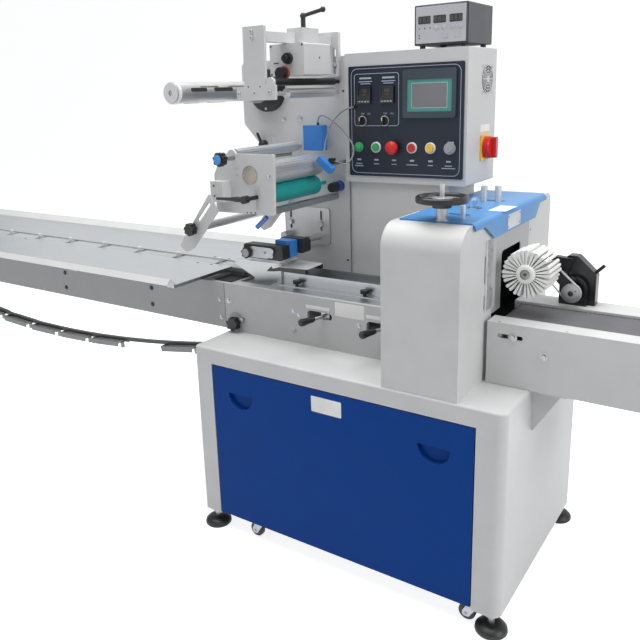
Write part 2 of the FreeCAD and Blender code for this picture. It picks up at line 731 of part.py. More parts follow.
def outfeed_roller(x):
    z = OUTFEED_TOP - BELT_DROP - BELT_ROLLER_R - BELT_THICKNESS
    drum = rod_y(x, z, BELT_NEAR_Y, BELT_FAR_Y, BELT_ROLLER_R - 0.1)
    shaft = rod_y(x, z, OUTFEED_FRONT_Y + SHEET, OUTFEED_BACK_Y - SHEET, 8)
    return join(drum, shaft)


def outfeed_bed():
    """Channel frame under the covers: two rails, cross ties and the belt's slider bed."""
    x0, x1 = belt_rollers_x()
    z = OUTFEED_TOP - BELT_DROP - BELT_THICKNESS
    bed = block(x0 + 40, x1 - 40, BELT_NEAR_Y, BELT_FAR_Y, z - 16, z - 0.1)
    ties = []
    for x in (x0 + 60, x1 - 80):
        ties.append(block(x, x + 20, OUTFEED_FRONT_Y + SHEET, OUTFEED_BACK_Y - SHEET, z - 32, z - 16))
    return join(bed, *ties)


def outfeed_gusset():
    """Triangular bracket that carries the outfeed from the base cabinet's side."""
    y0 = OUTFEED_FRONT_Y + 25
    plate = plate_xz([(BASE_LENGTH, BASE_TOP - 116), (BASE_LENGTH + 6, BASE_TOP - 116),
                      (BASE_LENGTH + 76, BASE_TOP - 2), (BASE_LENGTH, BASE_TOP - 2)], y0, y0 + 6)
    twin = plate.copy()
    twin.translate(vec(0, OUTFEED_BACK_Y - OUTFEED_FRONT_Y - 56, 0))
    shelf = block(BASE_LENGTH, BASE_LENGTH + 90, OUTFEED_FRONT_Y + 3, OUTFEED_BACK_Y - 3,
                  BASE_TOP - 3, BASE_TOP + 1)
    return join(shelf, plate, twin)


# ---- end sealer ------------------------------------------------------------------------------
def sealer_front_cover():
    """Near housing: upright with a rounded top front edge."""
    points = [(COVER_FRONT_Y, BASE_TOP), (COVER_FRONT_Y, COVER_TOP), (COVER_NEAR_Y, COVER_TOP),
              (COVER_NEAR_Y, BASE_TOP)]
    body = plate_yz(points, SEALER_LEFT_X, SEALER_RIGHT_X, [0, COVER_NOSE_R, 0, 0])
    return body


def sealer_back_cover():
    points = [(COVER_FAR_Y, BASE_TOP), (COVER_FAR_Y, COVER_TOP), (COVER_BACK_Y, COVER_TOP),
              (COVER_BACK_Y, BASE_TOP)]
    return plate_yz(points, SEALER_LEFT_X, SEALER_RIGHT_X, [0, 0, 30, 0])


def sealer_hood():
    """Blue sheet over both housings, rolled down over the right side as a fascia."""
    y0 = COVER_FRONT_Y + COVER_NOSE_R + 8
    y1 = COVER_BACK_Y - 70
    x0 = SEALER_LEFT_X + 15
    x1 = SEALER_RIGHT_X + 8
    z1 = COVER_TOP + HOOD_SHEET
    t = HOOD_SHEET
    points = [(x0, COVER_TOP), (x0, z1), (x1, z1), (x1, HOOD_SKIRT_Z), (x1 - t, HOOD_SKIRT_Z),
              (x1 - t, COVER_TOP)]
    hood = plate_xz(points, y0, y1, [0, 0, 14, 0, 0, 3])
    bevel = plate_yz([(y0 - 1, HOOD_SKIRT_Z - 1), (y0 + 130, HOOD_SKIRT_Z - 1),
                      (y0 + 64, COVER_TOP - 14), (y0 - 1, COVER_TOP - 14)], x1 - t - 1, x1 + 1)
    tail = plate_yz([(y1 + 1, HOOD_SKIRT_Z - 1), (y1 - 100, HOOD_SKIRT_Z - 1),
                     (y1 - 60, COVER_TOP - 14), (y1 + 1, COVER_TOP - 14)], x1 - t - 1, x1 + 1)
    return cut(hood, bevel, tail)


def window_plate():
    """Stainless frame round the sealer's outlet."""
    x0 = SEALER_RIGHT_X
    frame = rectangle(COVER_NEAR_Y + SEAT_GAP, COVER_FAR_Y - SEAT_GAP, OUTFEED_TOP + 2,
                      COVER_TOP - SEAT_GAP)
    plate = plate_yz(frame, x0 - WINDOW_SHEET, x0, 2)
    opening = plate_yz(rectangle(282, 432, OUTFEED_TOP + 1, 936), x0 - WINDOW_SHEET - 1, x0 + 1,
                       [0, 0, 12, 12])
    return plate.cut(opening)


def seal_jaw(z, side):
    """A rotary sealing shaft with one pair of toothed jaws, seen through the outlet."""
    x = (SEALER_LEFT_X + SEALER_RIGHT_X) / 2
    shaft = rod_y(x, z, COVER_NEAR_Y, COVER_FAR_Y, 22)
    jaw = block(x - 16, x + 16, 262, 456, min(z, z + side * 46), max(z, z + side * 46))
    teeth = []
    for i in range(5):
        x0 = x - 14 + i * 6
        teeth.append(block(x0, x0 + 2.5, 261, 457, z + side * 46 - 2, z + side * 46 + 2))
    return join(shaft, cut(jaw, *teeth))


def handwheel_column():
    """Bright sleeve on the cover that the wheel's spindle turns in."""
    z0 = COVER_TOP + HOOD_SHEET
    height = WHEEL_Z - 8 - WHEEL_COLLAR - SEAT_GAP - z0
    bore = 6 + RUNNING_FIT
    return turned([(0, 0), (0, 17), (3, 17), (3, 14), (height, 14), (height, bore), (6, bore), (6, 0)],
                  vec(WHEEL_X, WHEEL_Y, z0), vec(0, 0, 1))


def handwheel():
    """Dished wheel: heavy rim, thin web with three windows, collar and the long spindle."""
    centre = vec(WHEEL_X, WHEEL_Y, WHEEL_Z)
    r = WHEEL_R
    collar = WHEEL_COLLAR
    profile = [(-8 - collar, 0), (-8 - collar, 23), (-10, 26), (-8, r - 8), (-8, r - 2), (-5, r), (5, r),
               (8, r - 3), (8, r - 9), (5, r - 12), (-1, r - 14), (-1, 20), (3, 17), (3, 0)]
    wheel = turned(profile, centre, vec(0, 0, 1))
    windows = []
    for i in range(3):
        angle = math.radians(50 + 120 * i)
        x = WHEEL_X + 37 * math.cos(angle)
        y = WHEEL_Y + 37 * math.sin(angle)
        windows.append(rod_z(x, y, WHEEL_Z - 12, WHEEL_Z + 12, 9))
    spindle = rod_z(WHEEL_X, WHEEL_Y, COVER_TOP + HOOD_SHEET + 6.5, WHEEL_Z + 36, 6)
    return join(cut(wheel, *windows), spindle)


def hood_post(x, y, height):
    base = COVER_TOP + HOOD_SHEET
    return rod_z(x, y, base, base + height, 9)


def sealer_screws():
    """Guide pillars, the clear cap on its flange and the short stud that stand on the hood."""
    base = COVER_TOP + HOOD_SHEET
    cap = turned([(0, 0), (0, 19), (2, 19), (2, 12), (22, 12), (28, 7), (28, 0)],
                 vec(769, 296, base), vec(0, 0, 1))
    stud = rod_z(787, 173, base, base + 26, 7)
    return [hood_post(749, 416, 43), hood_post(784, 431, 43), cap, stud]


# ---- take-off brush --------------------------------------------------------------------------
def groove_profile(radius, width, depth):
    """Half section of a round-belt pulley: flat rims and a V groove between them."""
    return [(0, 0), (0, radius), (width * 0.25, radius), (width * 0.5, radius - depth),
            (width * 0.75, radius), (width, radius), (width, 0)]


def brush_wheel():
    """Hub with flat bristle paddles all round, on a spindle that carries its belt pulley."""
    hub = rod_y(BRUSH_X, BRUSH_Z, BRUSH_NEAR_Y, BRUSH_FAR_Y, BRUSH_HUB_R)
    spindle = rod_y(BRUSH_X, BRUSH_Z, BRUSH_NEAR_Y - 8, ARM_BACK_Y - 2, SPINDLE_R)
    pulley = turned(groove_profile(BRUSH_PULLEY_R, PULLEY_WIDTH, GROOVE_DEPTH),
                    vec(BRUSH_X, PULLEY_NEAR_Y, BRUSH_Z), vec(0, 1, 0))
    paddles = []
    for i in range(BRUSH_PADDLES):
        blade = block(BRUSH_HUB_R - 2, BRUSH_R, BRUSH_NEAR_Y + 2, BRUSH_FAR_Y - 2, -1.6, 1.6)
        blade.rotate(vec(0, 0, 0), vec(0, 1, 0), 360 * i / BRUSH_PADDLES)
        blade.translate(vec(BRUSH_X, 0, BRUSH_Z))
        paddles.append(blade)
    return join(hub, spindle, pulley, *paddles)


def brush_housing():
    """Black drive housing: small arched front, taller cover behind it, and the brush's arm."""
    front = plate_xz([(973, OUTFEED_TOP), (973, 860), (1044, 860), (1044, OUTFEED_TOP)],
                     HOUSING_Y, ARM_BACK_Y, [0, 33, 33, 0])
    cover = plate_xz([(968, OUTFEED_TOP), (968, 868), (984, 912), (1012, 912), (1062, 866),
                      (1062, OUTFEED_TOP)], ARM_BACK_Y, HOUSING_Y + 47, [0, 14, 12, 12, 14, 0])
    eye = rod_y(BRUSH_X, BRUSH_Z, HOUSING_Y, ARM_BACK_Y, 18)
    strap = plate_xz([(BRUSH_X - 4, BRUSH_Z - 14), (978, 826), (1004, 906), (BRUSH_X + 3, BRUSH_Z + 17)],
                     HOUSING_Y, ARM_BACK_Y + 6)
    handle = rod(vec(1046, HOUSING_Y + 30, 858), vec(1077, HOUSING_Y + 30, 890), 4.5)
    bore = SPINDLE_R + RUNNING_FIT
    brush_bore = rod_y(BRUSH_X, BRUSH_Z, HOUSING_Y - 1, ARM_BACK_Y + 7, bore)
    drive_bore = rod_y(PULLEY_X, PULLEY_Z, HOUSING_Y - 1, HOUSING_Y + 20, bore)
    return cut(join(front, cover, eye, strap, handle), brush_bore, drive_bore)


def drive_pulley():
    wheel = turned(groove_profile(PULLEY_R, PULLEY_WIDTH, GROOVE_DEPTH),
                   vec(PULLEY_X, PULLEY_NEAR_Y, PULLEY_Z), vec(0, 1, 0))
    return join(wheel, rod_y(PULLEY_X, PULLEY_Z, PULLEY_NEAR_Y, HOUSING_Y + 18, SPINDLE_R))


def tangent_face(x0, z0, r0, x1, z1, r1, y):
    """The flat shape that a tight band round two circles encloses."""
    span = math.hypot(x1 - x0, z1 - z0)
    heading = math.atan2(z1 - z0, x1 - x0)
    lean = math.acos((r0 - r1) / span)
    corners = []
    for x, z, radius, sign in ((x0, z0, r0, 1), (x1, z1, r1, 1), (x1, z1, r1, -1), (x0, z0, r0, -1)):
        angle = heading + sign * lean
        corners.append(vec(x + radius * math.cos(angle), y, z + radius * math.sin(angle)))
    heel = vec(x0 - r0 * math.cos(heading), y, z0 - r0 * math.sin(heading))
    toe = vec(x1 + r1 * math.cos(heading), y, z1 + r1 * math.sin(heading))
    edges = [Part.LineSegment(corners[0], corners[1]).toShape(),
             Part.Arc(corners[1], toe, corners[2]).toShape(),
             Part.LineSegment(corners[2], corners[3]).toShape(),
             Part.Arc(corners[3], heel, corners[0]).toShape()]
    return Part.Face(Part.Wire(edges))


def brush_belt():
    """Drive belt that lies in the two pulleys' grooves."""
    y0 = PULLEY_NEAR_Y + PULLEY_WIDTH / 2 - 1.5
    inner_0 = PULLEY_R + SEAT_GAP - GROOVE_DEPTH * 0.5
    inner_1 = BRUSH_PULLEY_R + SEAT_GAP - GROOVE_DEPTH * 0.5
    outer = tangent_face(PULLEY_X, PULLEY_Z, inner_0 + 4, BRUSH_X, BRUSH_Z, inner_1 + 4, y0)
    inner = tangent_face(PULLEY_X, PULLEY_Z, inner_0, BRUSH_X, BRUSH_Z, inner_1, y0)
    return outer.cut(inner).extrude(vec(0, 3, 0))


# ---- control box and pedestal ----------------------------------------------------------------
def control_pedestal():
    return plate_xy(rectangle(PEDESTAL_LEFT_X, PEDESTAL_RIGHT_X, FRAME_BACK_Y + 0.5, 636),
                    BASE_TOP, BOX_BOTTOM, [22, 4, 4, 4])


def control_box():
    body = plate_xz(rectangle(PEDESTAL_LEFT_X, BOX_RIGHT_X, BOX_BOTTOM, BOX_TOP), BOX_FRONT_Y,
                    BASE_DEPTH, 3)
    return body


def panel_edges():
    return (PEDESTAL_LEFT_X + PANEL_MARGIN, BOX_RIGHT_X - PANEL_MARGIN + 6,
            BOX_BOTTOM + 20, BOX_TOP - 38)


def control_panel():
    x0, x1, z0, z1 = panel_edges()
    return plate_xz(rectangle(x0, x1, z0, z1), BOX_FRONT_Y - PANEL_SHEET, BOX_FRONT_Y, 4)


PANEL_FACE_Y = BOX_FRONT_Y - PANEL_SHEET


def touch_screen():
    z = BOX_BOTTOM + 193
    frame = plate_xz(rectangle(493, 657, z, z + 136), PANEL_FACE_Y - 7, PANEL_FACE_Y, 8)
    glass = plate_xz(rectangle(507, 645, z + 18, z + 107), PANEL_FACE_Y - 8, PANEL_FACE_Y - 5, 2)
    return frame.cut(glass)


def temperature_controllers():
    out = []
    z = BOX_BOTTOM + 236
    for x0 in (341.0, 418.0):
        body = block(x0, x0 + 45, PANEL_FACE_Y - 8, PANEL_FACE_Y, z, z + 50)
        face = block(x0 + 4, x0 + 41, PANEL_FACE_Y - 9, PANEL_FACE_Y - 6, z + 20, z + 45)
        out.append(body.cut(face))
    return out


SELECTORS = {"left": 356.0, "right": 432.0}
SELECTOR_Z = BOX_BOTTOM + 185
BUTTON_Z = BOX_BOTTOM + 107
PUSH_BUTTONS = {"start": 402.0, "stop": 521.0, "jog": 580.0}
LAMP_X = 342.0
STOP_X = 462.0
SPEED_X = 640.0


def bezel(x, z, outer, inner):
    return ring_y(x, z, PANEL_FACE_Y - 4, PANEL_FACE_Y, outer, inner)


def button_bezels():
    """The collars that stay on the panel round each control."""
    out = [bezel(x, BUTTON_Z, 16, 12) for x in PUSH_BUTTONS.values()]
    out += [bezel(x, SELECTOR_Z, 15, 8) for x in SELECTORS.values()]
    out.append(ring_y(STOP_X, BUTTON_Z, PANEL_FACE_Y - 9, PANEL_FACE_Y, 14, 9.2))
    out.append(bezel(SPEED_X, BUTTON_Z, 17, 8))
    return out


def power_lamp():
    return turned([(0, 0), (0, 15), (4, 15), (6, 11.5), (12, 10), (15, 5), (16, 0)],
                  vec(LAMP_X, PANEL_FACE_Y, BUTTON_Z), vec(0, -1, 0))


def push_button(x):
    return rod_y(x, BUTTON_Z, PANEL_FACE_Y - 9, PANEL_FACE_Y - 3.2, 11.5)


def stop_button():
    """Mushroom head on a short stem."""
    return turned([(6.2, 0), (6.2, 9), (16, 9), (16, 20), (22, 19), (26, 13), (27.5, 0)],
                  vec(STOP_X, PANEL_FACE_Y, BUTTON_Z), vec(0, -1, 0))


def selector(x):
    base = turned([(0.2, 0), (0.2, 7.5), (4.5, 7.5), (4.5, 13), (12, 12), (12, 0)],
                  vec(x, PANEL_FACE_Y, SELECTOR_Z), vec(0, -1, 0))
    handle = block(x - 3.5, x + 3.5, PANEL_FACE_Y - 22, PANEL_FACE_Y - 10, SELECTOR_Z - 12,
                   SELECTOR_Z + 12)
    return join(base, handle)


def speed_knob():
    knob = turned([(0.2, 0), (0.2, 7.5), (4.5, 7.5), (4.5, 16), (8, 16), (9, 11), (21, 10), (21, 0)],
                  vec(SPEED_X, PANEL_FACE_Y, BUTTON_Z), vec(0, -1, 0))
    mark = block(SPEED_X - 1, SPEED_X + 1, PANEL_FACE_Y - 22, PANEL_FACE_Y - 20, BUTTON_Z,
                 BUTTON_Z + 10.5)
    return join(knob, mark)


def isolator_plate():
    x = BOX_RIGHT_X
    half = ISOLATOR_PLATE / 2
    return plate_yz(rectangle(ISOLATOR_Y - half, ISOLATOR_Y + half, ISOLATOR_Z - half - 1,
                              ISOLATOR_Z + half + 1), x, x + 5, 4)


ISOLATOR_Y = 566.0
ISOLATOR_Z = BOX_BOTTOM + 101
ISOLATOR_PLATE = 72.0


def isolator_handle():
    x = BOX_RIGHT_X + 5
    base = turned([(SEAT_GAP, 0), (SEAT_GAP, 32), (16, 32), (20, 29), (20, 0)],
                  vec(x, ISOLATOR_Y, ISOLATOR_Z), vec(1, 0, 0))
    grip = plate_yz(rectangle(ISOLATOR_Y - 8, ISOLATOR_Y + 8, ISOLATOR_Z - 30, ISOLATOR_Z + 30),
                    x + 18, x + 34, 5)
    return join(base, grip)


def fan_grille():
    """Finger guard of the cabinet fan: backing disc, rings and spokes."""
    x = BOX_RIGHT_X
    y, z = 575.0, BOX_BOTTOM + 296
    parts = []
    for radius in (40, 32, 24, 16):
        parts.append(ring(vec(x + 1, y, z), vec(x + 3, y, z), radius, radius - 2.2))
    parts.append(rod_x(y, z, x + 1, x + 3, 9))
    for i in range(4):
        spoke = block(x + 1, x + 3, -37, 37, -1.2, 1.2)
        spoke.rotate(vec(0, 0, 0), vec(1, 0, 0), 45 * i)
        spoke.translate(vec(0, y, z))
        parts.append(spoke)
    return join(rod_x(y, z, x, x + 1, 40), *parts)


def instrument_box():
    """Free-standing static bar supply on four feet, on top of the control box."""
    x0, x1, y0, y1, z0, z1 = 513.0, 675.0, 452.0, 636.0, BOX_TOP + 10, BOX_TOP + 119
    case = plate_xz(rectangle(x0, x1, z0, z1), y0 + 4, y1, 4)
    face = plate_xz(rectangle(x0 + 2, x1 - 2, z0 + 2, z1 - 2), y0, y0 + 4, 2)
    windows = []
    for i in range(3):
        x = x0 + 16 + i * 46
        windows.append(block(x, x + 38, y0 - 1, y0 + 2, z1 - 42, z1 - 20))
    feet = [rod_z(x, y, BOX_TOP, z0 + 1, 8) for x in (x0 + 18, x1 - 18) for y in (y0 + 20, y1 - 20)]
    keys = []
    for i in range(4):
        keys.append(rod_y(x0 + 26 + i * 36, z0 + 42, y0 - 5, y0 + 1, 6))
        keys.append(block(x0 + 18 + i * 36, x0 + 32 + i * 36, y0 - 3, y0 + 1, z0 + 14, z0 + 26))
    return join(cut(join(case, face), *windows), *feet, *keys)


# ---- film wall, reel and coder ---------------------------------------------------------------
def film_wall():
    """Upright wall plate that carries the reel, the coder and the film rollers."""
    points = [(-125, 1445), (-113, WALL_TOP), (PEDESTAL_LEFT_X - 0.5, WALL_TOP),
              (PEDESTAL_LEFT_X - 0.5, BASE_TOP), (33, BASE_TOP), (33, 1050), (28, 1090),
              (-69, 1196), (-125, 1254)]
    return plate_xz(points, WALL_FRONT_Y, WALL_FRONT_Y + WALL_THICKNESS,
                    [0, 0, 0, 0, 0, 20, 20, 20, 20])


def reel_hub():
    return rod_y(REEL_X, REEL_Z, WALL_FRONT_Y - 16, WALL_FRONT_Y, REEL_HUB_R)


def reel_shaft():
    """Film core shaft: a tube with expanding strips, an end disc, a stop collar and its neck."""
    axis = vec(REEL_X, 0, REEL_Z)
    tube = rod_y(REEL_X, REEL_Z, REEL_FRONT_Y + 6, REEL_LAND_Y, REEL_R)
    cap = ring_y(REEL_X, REEL_Z, REEL_FRONT_Y, REEL_FRONT_Y + 8, REEL_R - 2, 8)
    slots = []
    for y0 in (92.0, 215.0):
        for angle in (65, 185, 305):
            slot = block(REEL_X - 5, REEL_X + 5, y0, y0 + 78, REEL_Z + REEL_R - 4, REEL_Z + REEL_R + 1)
            slot.rotate(axis, vec(0, 1, 0), angle)
            slots.append(slot)
    collar = rod_y(REEL_X, REEL_Z, REEL_LAND_Y + 4, REEL_LAND_Y + 18, REEL_R + 9)
    neck = rod_y(REEL_X, REEL_Z, REEL_LAND_Y - 1, WALL_FRONT_Y - 16.5, REEL_NECK_R)
    return join(cut(tube, *slots), cap, collar, neck)


CODER_BAR = (220.0, 243.0, 1488.0, 1515.0)
SADDLE_RISE = 15.0
ROLLERS = {
    "guide_roller": (251.0, 1351.0, 14.0),
    "coder_roller": (256.0, 1382.0, 10.0),
    "top_roller": (105.0, 1184.0, 16.0),
    "feed_roller": (206.0, 1132.0, 33.0),
    "rubber_roller": (198.0, 1068.0, 30.0),
}
ROLLER_SPAN = {"guide_roller": (182.0, 424.0), "feed_roller": (115.5, 384.0),
               "rubber_roller": (115.5, 384.0)}


def coder_plate():
    """Hanging T-shaped plate that holds the near ends of the coder's rollers."""
    points = [(170, 1530), (243, 1530), (240, 1376), (273, 1375), (272, 1335), (138, 1335),
              (139, 1372), (167, 1373)]
    plate = plate_xz(points, FILM_PLATE_Y, FILM_PLATE_Y + FILM_PLATE, [3, 3, 4, 3, 3, 3, 3, 4])
    x, z, _ = ROLLERS["coder_roller"]
    eye = rod_y(x, z, FILM_PLATE_Y, FILM_PLATE_Y + FILM_PLATE, 13)
    bores = [bearing_bore(name) for name in ("guide_roller", "coder_roller")]
    return cut(join(plate, eye), *bores)


SHAFT_R = 6.0
LOWER_ROLLER = (-17.0, 966.0, 13.0)


def bearing_bore(name):
    x, z, _ = ROLLERS[name]
    return rod_y(x, z, FILM_PLATE_Y + 2, FILM_PLATE_Y + FILM_PLATE + 1, SHAFT_R + RUNNING_FIT)


def coder_bar():
    x0, x1, z0, z1 = CODER_BAR
    return block(x0, x1, FILM_PLATE_Y + FILM_PLATE, WALL_FRONT_Y - 14, z0, z1)


def coder_bracket():
    plate = plate_xz(rectangle(195, 267, 1396, 1527), WALL_FRONT_Y - 14, WALL_FRONT_Y, 3)
    slot = plate_xz(rectangle(246, 258, 1402, 1480), WALL_FRONT_Y - 15, WALL_FRONT_Y + 1, 5.9)
    return plate.cut(slot)


def coder_box():
    """Hot-stamp coder: housing, front knob and motor boss, hung from a saddle on the bar."""
    x0, x1, z0, z1 = 184.0, 302.0, 1399.0, 1486.0
    body = plate_xz(rectangle(x0, x1, z0, z1), 200, 336, 5)
    knob = turned([(0, 0), (0, 16), (10, 15), (10, 9), (22, 9), (22, 0)],
                  vec(249, 200, 1446), vec(0, -1, 0))
    motor = rod_y(233, 1407, 176, 201, 16)
    bx0, bx1, bz0, bz1 = CODER_BAR
    saddle = block(bx0 - 6, bx1 + 24, 246, 330, z1 - 1, bz1 + SADDLE_RISE)
    hole = block(bx0, bx1, 245, 331, bz0, bz1)
    return join(body, knob, motor, saddle.cut(hole))


def coder_clamp():
    """Hand lever that locks the coder on its bar."""
    x0, x1, z0, z1 = CODER_BAR
    x, y = (x0 + x1) / 2 + 10, 290.0
    stud = rod_z(x, y, z1 + SADDLE_RISE + SEAT_GAP, z1 + 52, 7)
    arm = rod(vec(x, y, z1 + 50), vec(x + 68, y, z1 + 62), 5.5)
    tip = Part.makeSphere(8, vec(x + 68, y, z1 + 62))
    return join(stud, Part.makeSphere(9, vec(x, y, z1 + 50)), arm, tip)


def film_roller(name):
    x, z, radius = ROLLERS[name]
    start, end = ROLLER_SPAN.get(name, (FILM_PLATE_Y + FILM_PLATE + 5.5, BOX_FRONT_Y - 6))
    body = rod_y(x, z, start, end, radius)
    shaft = rod_y(x, z, FILM_PLATE_Y + 2.5, WALL_FRONT_Y + 6, SHAFT_R)
    return join(body, shaft)


def wall_bores():
    out = []
    for x, z, _ in ROLLERS.values():
        out.append(rod_y(x, z, WALL_FRONT_Y - 1, WALL_FRONT_Y + 7, SHAFT_R + RUNNING_FIT))
    return out


def film_plate():
    """Lower hanging plate that holds the near ends of the film feed rollers."""
    points = [(71, 1187), (257, 1187), (252, 1016), (38, 1014), (35, 1125)]
    plate = plate_xz(points, FILM_PLATE_Y, FILM_PLATE_Y + FILM_PLATE, [14, 3, 3, 6, 20])
    x, z, _ = ROLLERS["top_roller"]
    plate = join(plate, rod_y(x, z, FILM_PLATE_Y, FILM_PLATE_Y + FILM_PLATE, 15))
    bores = [bearing_bore(name) for name in ("top_roller", "feed_roller", "rubber_roller")]
    block_side = block(51, 97, ARM_Y + ARM_SHEET, FILM_PLATE_Y, 1050, 1110)
    return join(cut(plate, *bores), block_side)


def film_tie_bars():
    """Bars from the lower plate back to the wall."""
    y0 = FILM_PLATE_Y + FILM_PLATE
    low = block(226, 250, y0, WALL_FRONT_Y, 1018, 1034)
    high = rod_y(62, 1160, y0, WALL_FRONT_Y, 9)
    return [low, high]


def slotted_arm(y0):
    """Slanted adjusting arm with its long slot; a pair of them carries the lowest film roller."""
    points = [(50, 1075), (78, 1022), (-28, 903), (-58, 889), (-84, 907)]
    plate = plate_xz(points, y0, y0 + ARM_SHEET, [4, 4, 8, 4, 8])
    slot = plate_xz([(46, 1050), (54, 1043), (3, 986), (-5, 993)], y0 - 1, y0 + 9, 5)
    x, z = LOWER_ROLLER[:2]
    bore = rod_y(x, z, y0 - 1, y0 + 9, SHAFT_R + RUNNING_FIT)
    return cut(plate, slot, bore)


def lower_roller():
    x, z, radius = LOWER_ROLLER
    body = rod_y(x, z, ARM_Y + ARM_SHEET + 5.5, FAR_ARM_Y - 5.5, radius)
    shaft = rod_y(x, z, ARM_Y + 0.5, FAR_ARM_Y + ARM_SHEET - 0.5, SHAFT_R)
    return join(body, shaft)


def knob_on_neck(x, z, y_seat, y_head, radius, neck_r=7.0, head=20.0):
    """A star knob in front of an upright plate, on its threaded neck."""
    body = star_knob(vec(x, y_head, z), vec(0, -1, 0), radius, head)
    return join(body, rod_y(x, z, y_head - 1, y_seat, neck_r))


def star_knobs():
    """Hand knobs that clamp the adjustable parts."""
    x, z = LOWER_ROLLER[:2]
    knobs = [knob_on_neck(x, z, ARM_Y, ARM_Y - 8, 19, 9), knob_on_neck(113, 1176, FILM_PLATE_Y, 52, 20),
             knob_on_neck(30, 644, FRAME_FRONT_Y, FRAME_FRONT_Y - 6, 22),
             rod_y(58, 659, FRAME_FRONT_Y - 12, FRAME_FRONT_Y, 7.5)]
    screw_y = PRODUCT_Y - GUIDE_HALF_GAP - GUIDE_FOOT / 2 - 3
    knobs += [thumb_screw(x, screw_y) for x in (221, 462)]
    return knobs


def nip_lever():
    """Clamp lever in front of the lower plate: stud, hub and tapered arm."""
    x, z = 194.0, 1066.0
    stud = rod_y(x, z, 52, FILM_PLATE_Y - SEAT_GAP, 6)
    hub = rod_y(x, z, 34, 54, 11)
    profile = [(0, 0), (0, 7), (30, 8), (55, 5), (104, 4), (107, 0)]
    arm = turned_along(profile, vec(x, 44, z), vec(-1, 0, -0.02).normalize())
    return join(stud, hub, arm)


def fin_bracket():
    """Slotted plate on the wall with two stub bosses, for the seal and the photocell arm."""
    plate = plate_xz(rectangle(45, 218, 862, 984), WALL_FRONT_Y - 10, WALL_FRONT_Y, 10)
    cuts = []
    for x in (65.0, 187.0):
        cuts.append(plate_xz(rectangle(x - 4.5, x + 4.5, 908, 975), WALL_FRONT_Y - 11,
                             WALL_FRONT_Y + 1, 4.4))
    left = rod_y(56, 889, WALL_FRONT_Y - 46, WALL_FRONT_Y - 9, 12)
    right = rod_y(171, 889, WALL_FRONT_Y - 70, WALL_FRONT_Y - 9, 12)
    bolts = [hex_bolt(vec(x, WALL_FRONT_Y - 10, 930), vec(0, -1, 0), 16, 9, 4.3, 10)
             for x in (65, 187)]
    return join(cut(plate, *cuts), left, right, *bolts)


def photocell_head():
    """Arm from the bracket with a clamp, the blue fork sensor and the black reader head."""
    arm = rod_y(171, 889, 296, WALL_FRONT_Y - 70, 8)
    clamp = plate_xz(rectangle(118, 214, 862, 908), 300, 334, 12)
    fork = plate_xz([(128, 852), (186, 852), (186, 906), (128, 906)], 262, 300, 4)
    throat = block(140, 174, 261, 290, 851, 872)
    head = plate_xz(rectangle(28, 182, 848, 893), 226, 262, 10)
    cover = plate_xz(rectangle(64, 146, 855, 885), 222, 227, 5)
    knob = star_knob(vec(48, 227, 866), vec(0, -1, 0), 18, 18)
    return join(arm, clamp, fork.cut(throat), head, cover, knob)


def film_sensors():
    """Colour mark amplifier, its small reading head, and the pressure regulator."""
    amplifier = plate_xz(rectangle(158, 228, 1174, 1252), 392, 424, 3)
    gland = rod_z(205, 408, 1251, 1260, 4)
    bracket = block(200, 206, 424, WALL_FRONT_Y, 1190, 1240)
    probe = plate_xz(rectangle(-30, 30, -10, 10), -11, 11, 3)
    probe.rotate(vec(0, 0, 0), vec(0, 1, 0), 38)
    probe.translate(vec(281, 328, 1138))
    stem = rod_y(281, 1138, 338, WALL_FRONT_Y, 6)
    socket = block(285, 301, 339, 355, 1141, 1157)
    regulator = rod_y(256, 1059, 420, WALL_FRONT_Y, 17)
    dial = rod_y(256, 1059, 398, 421, 15)
    return [join(amplifier, gland, bracket), join(probe, stem, socket), join(regulator, dial)]


def tube_path(points):
    """Straight runs joined by tangent arcs, each as large as its two runs allow."""
    edges = []
    start = points[0]
    for i in range(1, len(points) - 1):
        back = points[i - 1] - points[i]
        ahead = points[i + 1] - points[i]
        shorter = min(back.Length, ahead.Length)
        back = back.normalize()
        ahead = ahead.normalize()
        half = back.getAngle(ahead) / 2
        turn = math.pi - 2 * half
        radius = 0.45 * shorter / math.tan(turn / 2)
        middle = (back + ahead).normalize() * (radius / math.sin(half) - radius)
        first = points[i] + back * 0.45 * shorter
        last = points[i] + ahead * 0.45 * shorter
        edges.append(Part.LineSegment(start, first).toShape())
        edges.append(Part.Arc(first, points[i] + middle, last).toShape())
        start = last
        print(f"  cable bend {i}: radius {radius:.1f}, turn {math.degrees(turn):.0f}")
    edges.append(Part.LineSegment(start, points[-1]).toShape())
    return Part.Wire(edges)


def cable(points):
    places = [vec(*p) for p in points]
    path = tube_path(places)
    direction = (places[1] - places[0]).normalize()
    section = Part.Wire(Part.makeCircle(CABLE_R, places[0], direction))
    tube = path.makePipeShell([section], True, False)
    print(f"  cable: length {path.Length:.0f}, volume ratio "
          f"{tube.Volume / (path.Length * math.pi * CABLE_R ** 2):.4f}")
    return tube


NODES = {}


def add(name, shape):
    if isinstance(shape, list):
        shape = Part.makeCompound(shape)
    NODES[name] = shape


